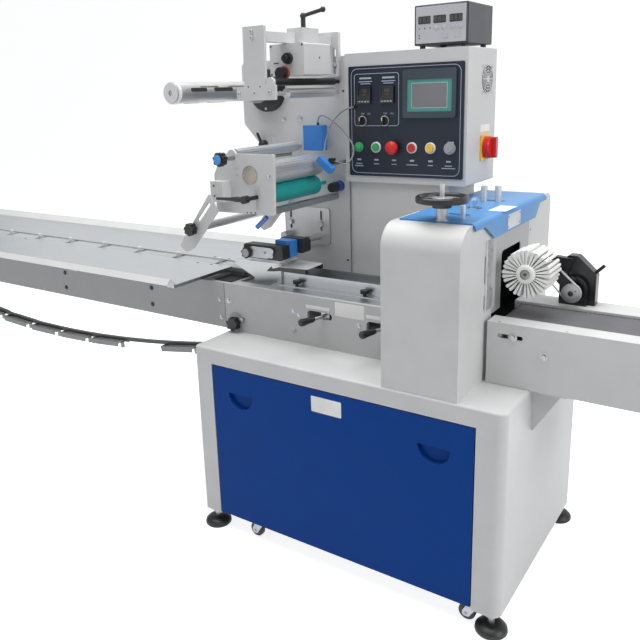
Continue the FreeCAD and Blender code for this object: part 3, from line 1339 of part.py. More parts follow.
def build():
    add("base_cabinet", base_cabinet())
    add("base_door", base_door())
    add("levelling_feet", [levelling_foot(x, y) for x, y in foot_places()])
    casters = []
    for x, y in caster_places():
        casters += [caster_fork(x, y), caster_wheel(x, y)]
    add("casters", casters)
    add("table_side_plates", [table_front_plate(), table_back_plate()])
    add("table_deck", table_deck())
    add("product_guides", [product_guide(-1), product_guide(1)])
    add("film_former", film_former())
    add("fin_lever_left", fin_lever("left"))
    add("fin_lever_right", fin_lever("right"))
    add("infeed_side_plates", [infeed_side(-1), infeed_side(1)])
    add("infeed_tray", [tray(-1), tray(1)])
    add("infeed_cross_bars", [tray_bearer(x) for x in bay_places()] + [chain_rail()])
    add("infeed_stand", infeed_stand())
    add("chain_sprockets", [tail_shaft(), drive_shaft()])
    add("infeed_chain", [upper_chain(), return_chain()])
    add("outfeed_covers", [outfeed_cover_near(), outfeed_cover_far()])
    add("belts", [outfeed_belt(), brush_belt()])
    rollers = [outfeed_roller(x) for x in belt_rollers_x()]
    add("outfeed_frame", rollers + [outfeed_bed(), outfeed_gusset()])
    add("sealer_covers", [sealer_front_cover(), sealer_back_cover()])
    add("sealer_hood", sealer_hood())
    add("window_plate", window_plate())
    add("seal_jaws", [seal_jaw(930, -1), seal_jaw(736, 1)])
    add("hood_fittings", [handwheel_column()] + sealer_screws())
    add("handwheel", handwheel())
    add("brush_wheel", brush_wheel())
    add("brush_housing", brush_housing())
    add("brush_pulley", drive_pulley())
    add("control_pedestal", control_pedestal())
    add("control_box", control_box())
    add("control_panel", join(control_panel(), power_lamp(), *button_bezels()))
    add("panel_instruments", [touch_screen()] + temperature_controllers())
    for name, x in PUSH_BUTTONS.items():
        add(name + "_button", push_button(x))
    add("emergency_stop", stop_button())
    for name, x in SELECTORS.items():
        add("selector_" + name, selector(x))
    add("speed_knob", speed_knob())
    add("box_side_fittings", [isolator_plate(), fan_grille()])
    add("isolator_handle", isolator_handle())
    add("instrument_box", instrument_box())
    add("film_wall", cut(film_wall(), *wall_bores()))
    add("reel_shaft", reel_shaft())
    add("film_side_plates", [coder_plate(), film_plate(), slotted_arm(ARM_Y), slotted_arm(FAR_ARM_Y)])
    add("wall_fittings", [reel_hub(), join(coder_bar(), coder_bracket())] + film_tie_bars())
    add("coder_box", coder_box())
    add("coder_clamp", coder_clamp())
    for name in ROLLERS:
        add(name, film_roller(name))
    add("lower_roller", lower_roller())
    add("nip_lever", nip_lever())
    add("star_knobs", star_knobs())
    add("fin_bracket", fin_bracket())
    add("film_sensors", film_sensors() + [photocell_head()])
    add("panel_cable", cable(PANEL_CABLE))
    add("amplifier_cable", cable(AMPLIFIER_CABLE))
    print(len(NODES), "nodes")


def export():
    os.makedirs("parts", exist_ok=True)
    for name, shape in NODES.items():
        shape.translate(vec(-X_MIDDLE, -Y_MIDDLE, 0))
        shape.exportStep("parts/" + name + ".step")
        box = shape.BoundBox
        print(f"{name:26s} {shape.isValid()} {len(shape.Solids)} {shape.Volume / 1e6:9.3f} "
              f"{box.XMin:8.1f} {box.XMax:8.1f} {box.YMin:8.1f} {box.YMax:8.1f} "
              f"{box.ZMin:8.1f} {box.ZMax:8.1f}")


build()
export()
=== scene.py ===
# %% [markdown]
# # A horizontal flow wrapper
# The machine's real shapes are already made: every plate, roller and knob comes in from a packed
# CAD model, in metres, and each one belongs to a body that may move. What is left for Blender is
# the look: paint, steel, rubber, cables, fasteners and the small fittings. Loading that model
# first means that nothing below needs to be fitted by eye.

# %% Load the frame
import bmesh
import bpy
import json
import math
from mathutils import Matrix, Vector


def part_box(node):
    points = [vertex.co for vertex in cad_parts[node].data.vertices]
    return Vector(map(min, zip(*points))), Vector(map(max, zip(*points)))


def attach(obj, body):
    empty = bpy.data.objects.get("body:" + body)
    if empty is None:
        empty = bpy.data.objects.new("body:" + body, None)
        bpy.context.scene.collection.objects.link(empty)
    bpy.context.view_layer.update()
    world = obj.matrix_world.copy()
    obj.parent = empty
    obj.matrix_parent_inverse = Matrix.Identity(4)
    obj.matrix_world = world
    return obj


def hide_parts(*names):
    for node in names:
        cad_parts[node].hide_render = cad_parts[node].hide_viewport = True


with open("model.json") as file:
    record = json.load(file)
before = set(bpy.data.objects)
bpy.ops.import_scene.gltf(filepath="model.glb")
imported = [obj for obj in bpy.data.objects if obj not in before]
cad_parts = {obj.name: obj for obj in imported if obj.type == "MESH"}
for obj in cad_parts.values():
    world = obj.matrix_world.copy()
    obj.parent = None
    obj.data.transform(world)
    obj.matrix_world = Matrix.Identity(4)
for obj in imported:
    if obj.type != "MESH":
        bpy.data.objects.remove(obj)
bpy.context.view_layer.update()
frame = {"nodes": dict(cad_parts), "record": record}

# %% [markdown]
# Positions on a machine are easiest to read from one corner of its base, as a fitter would tape
# them: millimetres to the right of the base cabinet's left side, back from its front, and up
# from the floor. `at` turns such a place into Blender's metres, from the cabinet's own box.

# %% Measure from the base cabinet
MM = 0.001
BASE_LOW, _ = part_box("base_cabinet")


def at(x, y, z):
    return Vector((BASE_LOW.x + x * MM, BASE_LOW.y + y * MM, z * MM))


print("base cabinet corner:", [round(v, 4) for v in at(0, 0, 0)])

# %% [markdown]
# The camera comes before any piece, so that every trial render is the final view. It stands to
# the right and in front, a little above the middle, turned by three angles. A real lens isn't
# always centred on its sensor, and a small shift of the view stands in for that.

# %% Camera
CAMERA_AZIMUTH = math.radians(34.755)
CAMERA_ELEVATION = math.radians(14.348)
CAMERA_ROLL = math.radians(-1.826)
CAMERA_PLACE = at(1472.5, -1504.8, 1351.7)


def camera_axes(azimuth, elevation, roll):
    """Right, up and backward directions of the camera."""
    back = Vector((math.sin(azimuth) * math.cos(elevation),
                   -math.cos(azimuth) * math.cos(elevation), math.sin(elevation)))
    level = Vector((0, 0, 1)).cross(back).normalized()
    upright = back.cross(level)
    right = math.cos(roll) * level + math.sin(roll) * upright
    up = -math.sin(roll) * level + math.cos(roll) * upright
    return right, up, back


def add_camera():
    right, up, back = camera_axes(CAMERA_AZIMUTH, CAMERA_ELEVATION, CAMERA_ROLL)
    turn = Matrix((right, up, back)).transposed().to_4x4()
    bpy.ops.object.camera_add()
    camera = bpy.context.object
    camera.name = "camera"
    camera.matrix_world = Matrix.Translation(CAMERA_PLACE) @ turn
    camera.data.sensor_width = 36.0
    camera.data.lens = 40.34
    camera.data.shift_x = 0.02
    camera.data.shift_y = -0.0686
    camera.data.clip_end = 100.0
    bpy.context.scene.camera = camera


add_camera()
print("camera:", [round(v, 3) for v in CAMERA_PLACE])

# %% [markdown]
# The floor and backdrop are one pale sheet, as in a photographer's cove, and three large soft
# lamps give the even light of a bright workshop. The lamps stay mild, so that each colour
# renders about as it is written. The white behind the machine comes from a glow on the sheet
# that only the camera, mirror-like surfaces and rays through glass see.

# %% Studio
bpy.context.scene.view_settings.view_transform = "Standard"
COVE_WIDTH, COVE_DEPTH, COVE_WALL = 30, 12, 6
COVE_STEPS = 8
COVE_RADIUS = 3.0
SKY_TINT = (0.97, 0.985, 1.0, 1)


def seen_directly(tree):
    """1 for rays that come from the camera, a mirror-like surface or through glass, else 0."""
    path = tree.nodes.new("ShaderNodeLightPath")
    total = path.outputs["Is Camera Ray"]
    for kind in ("Is Glossy Ray", "Is Transmission Ray"):
        larger = tree.nodes.new("ShaderNodeMath")
        larger.operation = "MAXIMUM"
        tree.links.new(total, larger.inputs[0])
        tree.links.new(path.outputs[kind], larger.inputs[1])
        total = larger.outputs[0]
    return total


def cove_material():
    """White to the eye and in reflections, a plain pale floor to everything else."""
    material = bpy.data.materials.new("studio white")
    material.use_nodes = True
    tree = material.node_tree
    surface = tree.nodes["Principled BSDF"]
    surface.inputs["Base Color"].default_value = (0.70, 0.71, 0.72, 1)
    surface.inputs["Roughness"].default_value = 0.9
    surface.inputs["Specular IOR Level"].default_value = 0.1
    glow = tree.nodes.new("ShaderNodeEmission")
    glow.inputs["Color"].default_value = (1, 1, 1, 1)
    glow.inputs["Strength"].default_value = 0.80
    both = tree.nodes.new("ShaderNodeAddShader")
    chosen = tree.nodes.new("ShaderNodeMixShader")
    tree.links.new(seen_directly(tree), chosen.inputs["Fac"])
    tree.links.new(surface.outputs[0], chosen.inputs[1])
    tree.links.new(both.outputs[0], chosen.inputs[2])
    tree.links.new(surface.outputs[0], both.inputs[0])
    tree.links.new(glow.outputs[0], both.inputs[1])
    tree.links.new(chosen.outputs[0], tree.nodes["Material Output"].inputs["Surface"])
    return material


def add_cove():
    """A floor that sweeps up behind the machine, extruded edge by edge along a quarter circle."""
    bpy.ops.object.select_all(action="DESELECT")
    bpy.ops.mesh.primitive_plane_add(size=1, location=(0, 0, 0))
    cove = bpy.context.object
    cove.name = "studio_cove"
    cove.scale = (COVE_WIDTH, COVE_DEPTH, 1)
    bpy.ops.object.transform_apply(location=True, rotation=False, scale=True)
    bpy.ops.object.mode_set(mode="EDIT")
    bpy.ops.mesh.select_mode(type="EDGE")
    bpy.ops.mesh.select_all(action="DESELECT")
    mesh = bmesh.from_edit_mesh(cove.data)
    for edge in mesh.edges:
        edge.select_set(all(v.co.y > COVE_DEPTH / 2 - 0.1 for v in edge.verts))
    bmesh.update_edit_mesh(cove.data)
    for i in range(COVE_STEPS):
        start = math.pi / 2 * i / COVE_STEPS
        end = math.pi / 2 * (i + 1) / COVE_STEPS
        move = (0, COVE_RADIUS * (math.sin(end) - math.sin(start)),
                COVE_RADIUS * (math.cos(start) - math.cos(end)))
        bpy.ops.mesh.extrude_region_move(TRANSFORM_OT_translate={"value": move})
    bpy.ops.mesh.extrude_region_move(TRANSFORM_OT_translate={"value": (0, 0, COVE_WALL)})
    bpy.ops.object.mode_set(mode="OBJECT")
    bpy.ops.object.shade_smooth()
    cove.data.materials.append(cove_material())


def add_lamp(name, place, aim, size, power):
    bpy.ops.object.light_add(type="AREA", location=place)
    lamp = bpy.context.object
    lamp.name = name
    lamp.data.shape = "DISK"
    lamp.data.size = size
    lamp.data.energy = power
    lamp.visible_camera = False
    direction = Vector(aim) - Vector(place)
    lamp.rotation_euler = direction.to_track_quat("-Z", "Y").to_euler()


def add_world():
    """A mild even sky for light, and a bright one for mirrors, so that metal looks like metal."""
    world = bpy.data.worlds.new("workshop light")
    bpy.context.scene.world = world
    world.use_nodes = True
    tree = world.node_tree
    mild = tree.nodes["Background"]
    bright = tree.nodes.new("ShaderNodeBackground")
    for sky, strength in ((mild, 0.26), (bright, 0.70)):
        sky.inputs["Color"].default_value = SKY_TINT
        sky.inputs["Strength"].default_value = strength
    chosen = tree.nodes.new("ShaderNodeMixShader")
    tree.links.new(seen_directly(tree), chosen.inputs["Fac"])
    tree.links.new(mild.outputs[0], chosen.inputs[1])
    tree.links.new(bright.outputs[0], chosen.inputs[2])
    tree.links.new(chosen.outputs[0], tree.nodes["World Output"].inputs["Surface"])


add_cove()
add_world()
add_lamp("overhead", (0.3, -0.1, 4.4), (0.4, 0.0, 0.8), 4.5, 200)
add_lamp("right_window", (4.9, -0.5, 2.8), (0.8, 0.0, 0.8), 3.0, 85)
add_lamp("front_fill", (-1.6, -4.4, 2.0), (0.3, 0.0, 0.7), 3.0, 16)

# %% [markdown]
# ## Finishes
# A finish that is one flat colour looks like a toy. Paint has a faint orange-peel skin and a
# little grey dust on top, sheet steel has fine parallel scratches, and both are rubbed brighter
# at their edges. Those four effects serve nearly every piece here, so each is a node group,
# made once with its own inputs. A few lines to add and join nodes come first.

# %% Helpers for node trees
def add_node(tree, kind, **settings):
    node = tree.nodes.new("ShaderNode" + kind)
    for key, value in settings.items():
        setattr(node, key, value)
    return node


def connect(tree, source, target):
    tree.links.new(source, target)


def feed(tree, value, socket):
    """Gives a socket a number, or a link when value is itself a socket."""
    if isinstance(value, (int, float)):
        socket.default_value = value
    else:
        connect(tree, value, socket)


def new_group(name, inputs, outputs):
    """A shader node group with named float, colour or vector sockets."""
    group = bpy.data.node_groups.new(name, "ShaderNodeTree")
    for socket, kind, value in inputs:
        made = group.interface.new_socket(name=socket, in_out="INPUT",
                                          socket_type="NodeSocket" + kind)
        made.default_value = value
    for socket, kind in outputs:
        group.interface.new_socket(name=socket, in_out="OUTPUT", socket_type="NodeSocket" + kind)
    coords = add_node(group, "TexCoord")
    given = group.nodes.new("NodeGroupInput")
    out = group.nodes.new("NodeGroupOutput")
    return group, coords, given, out


def math_node(tree, operation, first, second, clamp=False):
    node = add_node(tree, "Math", operation=operation, use_clamp=clamp)
    feed(tree, first, node.inputs[0])
    feed(tree, second, node.inputs[1])
    return node.outputs[0]


def noise(tree, vector, scale, detail=3.0, roughness=0.5):
    node = add_node(tree, "TexNoise")
    feed(tree, scale, node.inputs["Scale"])
    node.inputs["Detail"].default_value = detail
    node.inputs["Roughness"].default_value = roughness
    connect(tree, vector, node.inputs["Vector"])
    return node.outputs["Fac"]


def remap(tree, value, low, high, to_low=0.0, to_high=1.0):
    node = add_node(tree, "MapRange")
    for socket, number in zip(node.inputs[1:5], (low, high, to_low, to_high)):
        socket.default_value = number
    connect(tree, value, node.inputs[0])
    return node.outputs[0]

# %% [markdown]
# Edges are found with a Bevel node: it looks a few millimetres round each point and gives the
# normal that a rounded edge would have there. Where that differs from the flat normal there is
# an edge, and a noise breaks the line up so that the wear looks rubbed, not drawn.

# %% Edge wear and dust groups
def edge_wear_group():
    group, coords, given, out = new_group(
        "edge wear", [("Radius", "Float", 0.002), ("Amount", "Float", 0.5)], [("Mask", "Float")])
    bevel = add_node(group, "Bevel", samples=4)
    connect(group, given.outputs["Radius"], bevel.inputs["Radius"])
    flat = add_node(group, "NewGeometry")
    same = add_node(group, "VectorMath", operation="DOT_PRODUCT")
    connect(group, bevel.outputs[0], same.inputs[0])
    connect(group, flat.outputs["Normal"], same.inputs[1])
    edge = remap(group, same.outputs["Value"], 0.995, 0.80)
    broken = remap(group, noise(group, coords.outputs["Object"], 60.0, 4.0, 0.6), 0.35, 0.65)
    rubbed = math_node(group, "MULTIPLY", edge, broken)
    mask = math_node(group, "MULTIPLY", rubbed, given.outputs["Amount"], clamp=True)
    connect(group, mask, out.inputs["Mask"])
    return group


def dust_group():
    """Dust settles on what faces up, in soft patches."""
    group, coords, given, out = new_group(
        "settled dust", [("Amount", "Float", 0.2), ("Scale", "Float", 6.0)], [("Mask", "Float")])
    face = add_node(group, "NewGeometry")
    split = add_node(group, "SeparateXYZ")
    connect(group, face.outputs["Normal"], split.inputs[0])
    upward = remap(group, split.outputs["Z"], 0.3, 1.0)
    cloud = noise(group, coords.outputs["Object"], given.outputs["Scale"], 5.0)
    patches = remap(group, cloud, 0.3, 0.75)
    mask = math_node(group, "MULTIPLY", math_node(group, "MULTIPLY", upward, patches),
                     given.outputs["Amount"], clamp=True)
    connect(group, mask, out.inputs["Mask"])
    return group


EDGE_WEAR = edge_wear_group()
DUST = dust_group()
print("node groups:", EDGE_WEAR.name, "and", DUST.name)

# %% [markdown]
# Powder coat cools with a slightly pebbled skin. Two noises of different size make that skin: a
# fine one for the bump and a broad one for slow changes of gloss. Sheet metal gets its lines
# from a noise squeezed hard along one direction, which the eye reads as brushing.

# %% Skin and brushing groups
ALONG_X = (6.0, 700.0, 700.0)
ALONG_Y = (700.0, 6.0, 700.0)
ALONG_Z = (700.0, 700.0, 6.0)
NO_GRAIN = (90.0, 90.0, 90.0)


def skin_group():
    group, coords, given, out = new_group(
        "pebbled skin", [("Scale", "Float", 450.0)], [("Height", "Float"), ("Gloss", "Float")])
    fine = noise(group, coords.outputs["Object"], given.outputs["Scale"], 2.0)
    connect(group, fine, out.inputs["Height"])
    connect(group, noise(group, coords.outputs["Object"], 9.0, 4.0), out.inputs["Gloss"])
    return group


def brushing_group():
    """Fine lines along the x, y or z axis, whichever has the smallest stretch."""
    group, coords, given, out = new_group(
        "brushing", [("Stretch", "Vector", ALONG_X)],
        [("Lines", "Float"), ("Clouds", "Float")])
    squeeze = add_node(group, "VectorMath", operation="MULTIPLY")
    connect(group, coords.outputs["Object"], squeeze.inputs[0])
    connect(group, given.outputs["Stretch"], squeeze.inputs[1])
    connect(group, noise(group, squeeze.outputs[0], 1.0), out.inputs["Lines"])
    connect(group, noise(group, coords.outputs["Object"], 7.0, 5.0), out.inputs["Clouds"])
    return group


SKIN = skin_group()
BRUSHING = brushing_group()
print("node groups:", SKIN.name, "and", BRUSHING.name)

# %% [markdown]
# ### Putting a finish together
# Every finish is a Principled shader that stays in its own material. In all but the thin clear
# strip, masks from the groups mix its colours, and in most they shift its roughness. Numbers
# that are the same all over, such as the coat, are typed straight into the shader. Colours are
# given as they look on a screen and changed to the linear values that light works in.

# %% Material helpers
def linear(colour):
    return [c / 12.92 if c <= 0.04045 else ((c + 0.055) / 1.055) ** 2.4 for c in colour] + [1.0]


def place_group(tree, group, **values):
    node = tree.nodes.new("ShaderNodeGroup")
    node.node_tree = group
    for key, value in values.items():
        node.inputs[key].default_value = value
    return node


def mix_colour(tree, mask, first, second):
    """first where the mask is 0, second where it is 1; each is a colour or a socket."""
    node = add_node(tree, "Mix", data_type="RGBA")
    connect(tree, mask, node.inputs["Factor"])
    ends = [s for s in node.inputs if s.type == "RGBA"]
    for socket, value in zip(ends, (first, second)):
        if hasattr(value, "links"):
            connect(tree, value, socket)
        else:
            socket.default_value = linear(value)
    return next(s for s in node.outputs if s.type == "RGBA")


def start_material(name, roughness=0.5, metallic=0.0, coat=0.0, specular=0.5):
    material = bpy.data.materials.new(name)
    material.use_nodes = True
    shader = material.node_tree.nodes["Principled BSDF"]
    shader.inputs["Roughness"].default_value = roughness
    shader.inputs["Metallic"].default_value = metallic
    shader.inputs["Coat Weight"].default_value = coat
    shader.inputs["Coat Roughness"].default_value = 0.15
    shader.inputs["Specular IOR Level"].default_value = specular
    return material, material.node_tree, shader


def add_bump(tree, shader, height, strength, distance):
    bump = add_node(tree, "Bump")
    bump.inputs["Strength"].default_value = strength
    bump.inputs["Distance"].default_value = distance
    connect(tree, height, bump.inputs["Height"])
    connect(tree, bump.outputs["Normal"], shader.inputs["Normal"])

# %% [markdown]
# Paint on a machine is powder coat. The skin's slow changes fade its colour a little and shift
# its gloss, the rubbed edges are paler, and dust is grey and dull.

# %% Paint
def painted(name, colour, roughness=0.38, wear=0.5, dust=0.05, peel=0.06, specular=0.3):
    """Powder coat: pebbled skin, rubbed edges, dust on top."""
    material, tree, shader = start_material(name, coat=0.04, specular=specular)
    skin = place_group(tree, SKIN)
    edges = place_group(tree, EDGE_WEAR, Radius=0.0016, Amount=wear)
    grey = place_group(tree, DUST, Amount=dust)
    faded = [min(1.0, c * 1.025 + 0.004) for c in colour]
    tone = mix_colour(tree, remap(tree, skin.outputs["Gloss"], 0.35, 0.7), colour, faded)
    rubbed = [0.55 * c + 0.38 for c in colour]
    worn = mix_colour(tree, edges.outputs["Mask"], tone, rubbed)
    dusted = mix_colour(tree, grey.outputs["Mask"], worn, (0.80, 0.79, 0.77))
    connect(tree, dusted, shader.inputs["Base Color"])
    rough = remap(tree, skin.outputs["Gloss"], 0.3, 0.7, roughness - 0.05, roughness + 0.07)
    connect(tree, math_node(tree, "ADD", rough, math_node(tree, "MULTIPLY",
            grey.outputs["Mask"], 0.5), clamp=True), shader.inputs["Roughness"])
    add_bump(tree, shader, skin.outputs["Height"], peel, 0.0004)
    return material

# %% [markdown]
# Metal is the same recipe with other masks. Its lines run along the way a sheet was brushed or a
# roller ground, and they change colour, gloss and bump together, because a scratch does all
# three.

# %% Metal
def sheet_metal(name, colour, roughness=0.32, stretch=ALONG_X, dark=0.82, bump=0.05,
                metallic=1.0):
    """Brushed or ground metal: fine lines change its colour, gloss and surface."""
    material, tree, shader = start_material(name, metallic=metallic)
    lines = place_group(tree, BRUSHING, Stretch=stretch)
    edges = place_group(tree, EDGE_WEAR, Radius=0.0012, Amount=0.5)
    grain = remap(tree, lines.outputs["Lines"], 0.25, 0.75)
    shade = mix_colour(tree, grain, [c * dark for c in colour], colour)
    cloudy = mix_colour(tree, remap(tree, lines.outputs["Clouds"], 0.45, 0.75), shade,
                        [c * 0.93 for c in colour])
    bright = mix_colour(tree, edges.outputs["Mask"], cloudy, [min(1, c * 1.15) for c in colour])
    connect(tree, bright, shader.inputs["Base Color"])
    rough = remap(tree, lines.outputs["Lines"], 0.2, 0.8, roughness - 0.08, roughness + 0.1)
    connect(tree, rough, shader.inputs["Roughness"])
    add_bump(tree, shader, lines.outputs["Lines"], bump, 0.0003)
    return material

# %% [markdown]
# Plastics and rubbers have a fine moulded grain and no lines. Clear parts let light through: a
# moulded guard bends it, so it gets transmission, and a thin strip that lies on a face hardly
# does, so plain alpha is enough.

# %% Plastic and clear parts
def plastic(name, colour, roughness=0.45, grain=0.12, scale=900.0, specular=0.5, coat=0.0):
    """Moulded plastic or rubber: fine spark-eroded grain, paler where fingers polish it."""
    material, tree, shader = start_material(name, specular=specular, coat=coat)
    skin = place_group(tree, SKIN, Scale=scale)
    edges = place_group(tree, EDGE_WEAR, Radius=0.001, Amount=0.35)
    pale = [min(1.0, c + 0.07) for c in colour]
    tone = mix_colour(tree, remap(tree, skin.outputs["Gloss"], 0.35, 0.75), colour, pale)
    worn = mix_colour(tree, edges.outputs["Mask"], tone, [min(1.0, c + 0.16) for c in colour])
    connect(tree, worn, shader.inputs["Base Color"])
    rough = remap(tree, skin.outputs["Gloss"], 0.3, 0.7, roughness - 0.06, roughness + 0.08)
    connect(tree, rough, shader.inputs["Roughness"])
    add_bump(tree, shader, skin.outputs["Height"], grain, 0.0003)
    return material


def clear(name, colour, roughness=0.08):
    """Clear moulded plastic: light goes through it, a faint haze and tint stay."""
    material, tree, shader = start_material(name, roughness)
    shader.inputs["Transmission Weight"].default_value = 0.82
    shader.inputs["IOR"].default_value = 1.46
    skin = place_group(tree, SKIN, Scale=60.0)
    tint = mix_colour(tree, remap(tree, skin.outputs["Gloss"], 0.35, 0.7), colour,
                      [min(1.0, c + 0.06) for c in colour])
    connect(tree, tint, shader.inputs["Base Color"])
    add_bump(tree, shader, skin.outputs["Height"], 0.03, 0.0003)
    return material


def thin_clear(name, colour, cover):
    """A thin clear strip lying on a face: mostly seen through, with its own gloss."""
    material, _, shader = start_material(name, 0.08)
    shader.inputs["Base Color"].default_value = linear(colour)
    shader.inputs["Alpha"].default_value = cover
    return material

# %% [markdown]
# With those makers, a finish is a line or two: its name, its colour and how glossy it is. The
# names are plain ones, as in a machine builder's parts list.

# %% The finishes
FINISH = {
    "cabinet_paint": painted("cabinet paint", (0.81, 0.81, 0.81), 0.42),
    "door_paint": painted("door blue", (0.03, 0.245, 0.545), 0.40, wear=0.3, dust=0.04,
                          peel=0.10, specular=0.06),
    "hood_paint": painted("hood blue", (0.265, 0.53, 0.765), 0.34, wear=0.35),
    "panel_paint": painted("panel navy", (0.12, 0.15, 0.205), 0.45, wear=0.15, dust=0.03),
    "frame_paint": painted("frame grey", (0.68, 0.685, 0.685), 0.42, wear=0.4),
    "stainless": sheet_metal("stainless sheet", (0.80, 0.81, 0.82), 0.34, ALONG_X),
    "zinc_steel": sheet_metal("zinc plate", (0.72, 0.73, 0.75), 0.34, NO_GRAIN),
    "chain_steel": sheet_metal("chain steel", (0.34, 0.34, 0.345), 0.42, (120.0, 120.0, 120.0)),
    "jaw_steel": sheet_metal("machined steel", (0.60, 0.59, 0.58), 0.30, ALONG_Y),
    "anodised": sheet_metal("anodised plate", (0.78, 0.785, 0.79), 0.42, ALONG_Z, 0.93, 0.03),
    "roller_chrome": sheet_metal("ground roller", (0.90, 0.905, 0.91), 0.30,
                                 (900.0, 3.0, 900.0), metallic=0.65),
    "belt_rubber": plastic("belt", (0.405, 0.40, 0.415), 0.7, 0.35, 500.0, 0.2),
    "teal_rubber": plastic("silicone sleeve", (0.08, 0.56, 0.555), 0.42, 0.05),
    "cable_rubber": plastic("cable sheath", (0.055, 0.055, 0.06), 0.5),
    "black_plastic": plastic("black plastic", (0.055, 0.055, 0.06), 0.42),
    "gloss_black": plastic("instrument black", (0.06, 0.065, 0.075), 0.28, 0.04),
    "bristle_white": plastic("nylon bristle", (0.93, 0.93, 0.92), 0.5, 0.5, 1400.0),
    "grey_plastic": plastic("grey plastic", (0.62, 0.63, 0.64), 0.4),
    "sensor_blue": plastic("sensor blue", (0.15, 0.46, 0.78), 0.34, 0.05),
    "green_plastic": plastic("green cap", (0.16, 0.62, 0.34), 0.3, 0.03),
    "red_plastic": plastic("red cap", (0.80, 0.10, 0.10), 0.3, 0.03),
    "yellow_plastic": plastic("yellow cap", (0.93, 0.74, 0.16), 0.3, 0.03),
    "case_paint": painted("case charcoal", (0.27, 0.28, 0.305), 0.40, wear=0.3, dust=0.15),
    "cap_grey": plastic("carrier cap", (0.60, 0.615, 0.615), 0.42),
    "rod_blue": plastic("blue sleeve", (0.30, 0.45, 0.76), 0.3, 0.03),
    "thin_clear": thin_clear("clear strip", (0.95, 0.96, 0.97), 0.22),
    "clear_plastic": clear("clear guard", (0.80, 0.88, 0.97)),
    "dim_digits": plastic("resting digits", (0.34, 0.33, 0.31), 0.5, 0.02),
    "white_plastic": plastic("white plastic", (0.88, 0.88, 0.875), 0.36, 0.06),
    # The carrier grey below is painted lighter than the carriers' own colour, to lift the shade on
    # the chain's return run.
    "lightened_flight_grey": plastic("carrier plate", (0.80, 0.80, 0.80), 0.45),
    "table_grey": painted("table grey", (0.745, 0.75, 0.75), 0.44, wear=0.3, dust=0.05),
    "disc_alloy": sheet_metal("warm alloy", (0.62, 0.60, 0.56), 0.45, NO_GRAIN, 0.95, 0.03),
    "cord_grey": plastic("grey lead", (0.50, 0.51, 0.515), 0.5, 0.05),
    "knob_blue": plastic("blue knob", (0.07, 0.20, 0.50), 0.32, 0.05),
    "cap_blue": plastic("pale blue cap", (0.25, 0.55, 0.83), 0.34, 0.05),
    "orange_rubber": plastic("orange ring", (0.60, 0.26, 0.17), 0.45, 0.05),
    "screen_frame": plastic("slate bezel", (0.165, 0.205, 0.25), 0.42, 0.05),
    "bezel_teal": plastic("teal rim", (0.24, 0.56, 0.52), 0.34, 0.04),
    "screen_grey": plastic("resting screen", (0.40, 0.405, 0.42), 0.20, 0.01, coat=0.4),
    "print_white": plastic("legend ink", (0.66, 0.69, 0.75), 0.6, 0.02),
    "label_white": plastic("bare label", (0.90, 0.90, 0.89), 0.38, 0.03),
    "face_grey": painted("instrument face", (0.74, 0.745, 0.765), 0.42, wear=0.1, dust=0.02),
    "wheel_black": plastic("wheel enamel", (0.03, 0.03, 0.034), 0.36, 0.02, coat=0.12),
    "caster_grey": plastic("caster grey", (0.22, 0.225, 0.23), 0.5),
}
print(len(FINISH), "finishes")

# %% [markdown]
# Each CAD node has a slot in the parts record, and its material is exchanged for the finish of
# that slot. The mesh itself is never touched.

# %% Finish the CAD nodes
SLOT_OF = {part["node"]: part["material_slot"] for part in frame["record"]["subparts"]}


def finish_cad_nodes():
    for name, node in frame["nodes"].items():
        for slot in node.material_slots:
            slot.material = FINISH[SLOT_OF[name]]


finish_cad_nodes()
print("slots in use:", len(set(SLOT_OF.values())))

# %% [markdown]
# One thin cable leaves the control panel and one the sensor amplifier, and both end at the small
# film sensor. They are round sheathed leads, held only at their ends, so they hang in easy
# bends. A NURBS curve is the right tool: its few points pull on it like fingers on a wire, and
# it never kinks. The order and the end points are set after the points exist, because a new
# spline keeps its lowest order otherwise.

# %% Cables
CABLE_DIAMETER = 4.5
PANEL_CABLE = [(328, 427, 1305), (328, 412, 1305), (316, 404, 1301), (297, 401, 1292),
               (280, 397, 1277), (267, 390, 1258), (259, 383, 1236), (256, 374, 1213),
               (256, 364, 1191), (260, 354, 1169), (269, 347, 1150), (285, 347, 1150)]
AMPLIFIER_CABLE = [(205, 408, 1260), (205, 408, 1275), (219, 409, 1283), (242, 409, 1274),
                   (264, 409, 1261), (285, 408, 1246), (305, 406, 1229), (322, 403, 1211),
                   (336, 398, 1194), (344, 391, 1177), (345, 383, 1161), (339, 372, 1145),
                   (329, 360, 1136), (317, 347, 1147), (301, 347, 1147)]


def add_cable(name, points, node):
    curve = bpy.data.curves.new(name, "CURVE")
    curve.dimensions = "3D"
    curve.bevel_depth = CABLE_DIAMETER * MM / 2
    curve.bevel_resolution = 6
    curve.resolution_u = 10
    curve.use_fill_caps = True
    curve.materials.append(FINISH["cord_grey"])
    spline = curve.splines.new("NURBS")
    spline.points.add(len(points) - 1)
    for point, place in zip(spline.points, points):
        point.co = (*at(*place), 1)
    spline.order_u = 3
    spline.use_endpoint_u = True
    cable = bpy.data.objects.new(name, curve)
    bpy.context.scene.collection.objects.link(cable)
    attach(cable, "machine")
    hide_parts(node)


add_cable("panel_lead", PANEL_CABLE, "panel_cable")
add_cable("amplifier_lead", AMPLIFIER_CABLE, "amplifier_cable")
print("cable points:", len(PANEL_CABLE), "and", len(AMPLIFIER_CABLE))

# %% [markdown]
# ## Tools for modelling
# Every new piece starts as a primitive and is shaped in edit mode, as by hand. Three things
# recur: start with nothing selected, pick faces or edges by a test on their place, and move,
# extrude or bevel what is picked. Small functions for these keep each later cell to the shape
# itself. Sizes stay in machine millimetres up to the last moment.

# %% Selecting
ORIGIN = at(0, 0, 0)
X_AXIS, Y_AXIS, Z_AXIS = Vector((1, 0, 0)), Vector((0, 1, 0)), Vector((0, 0, 1))


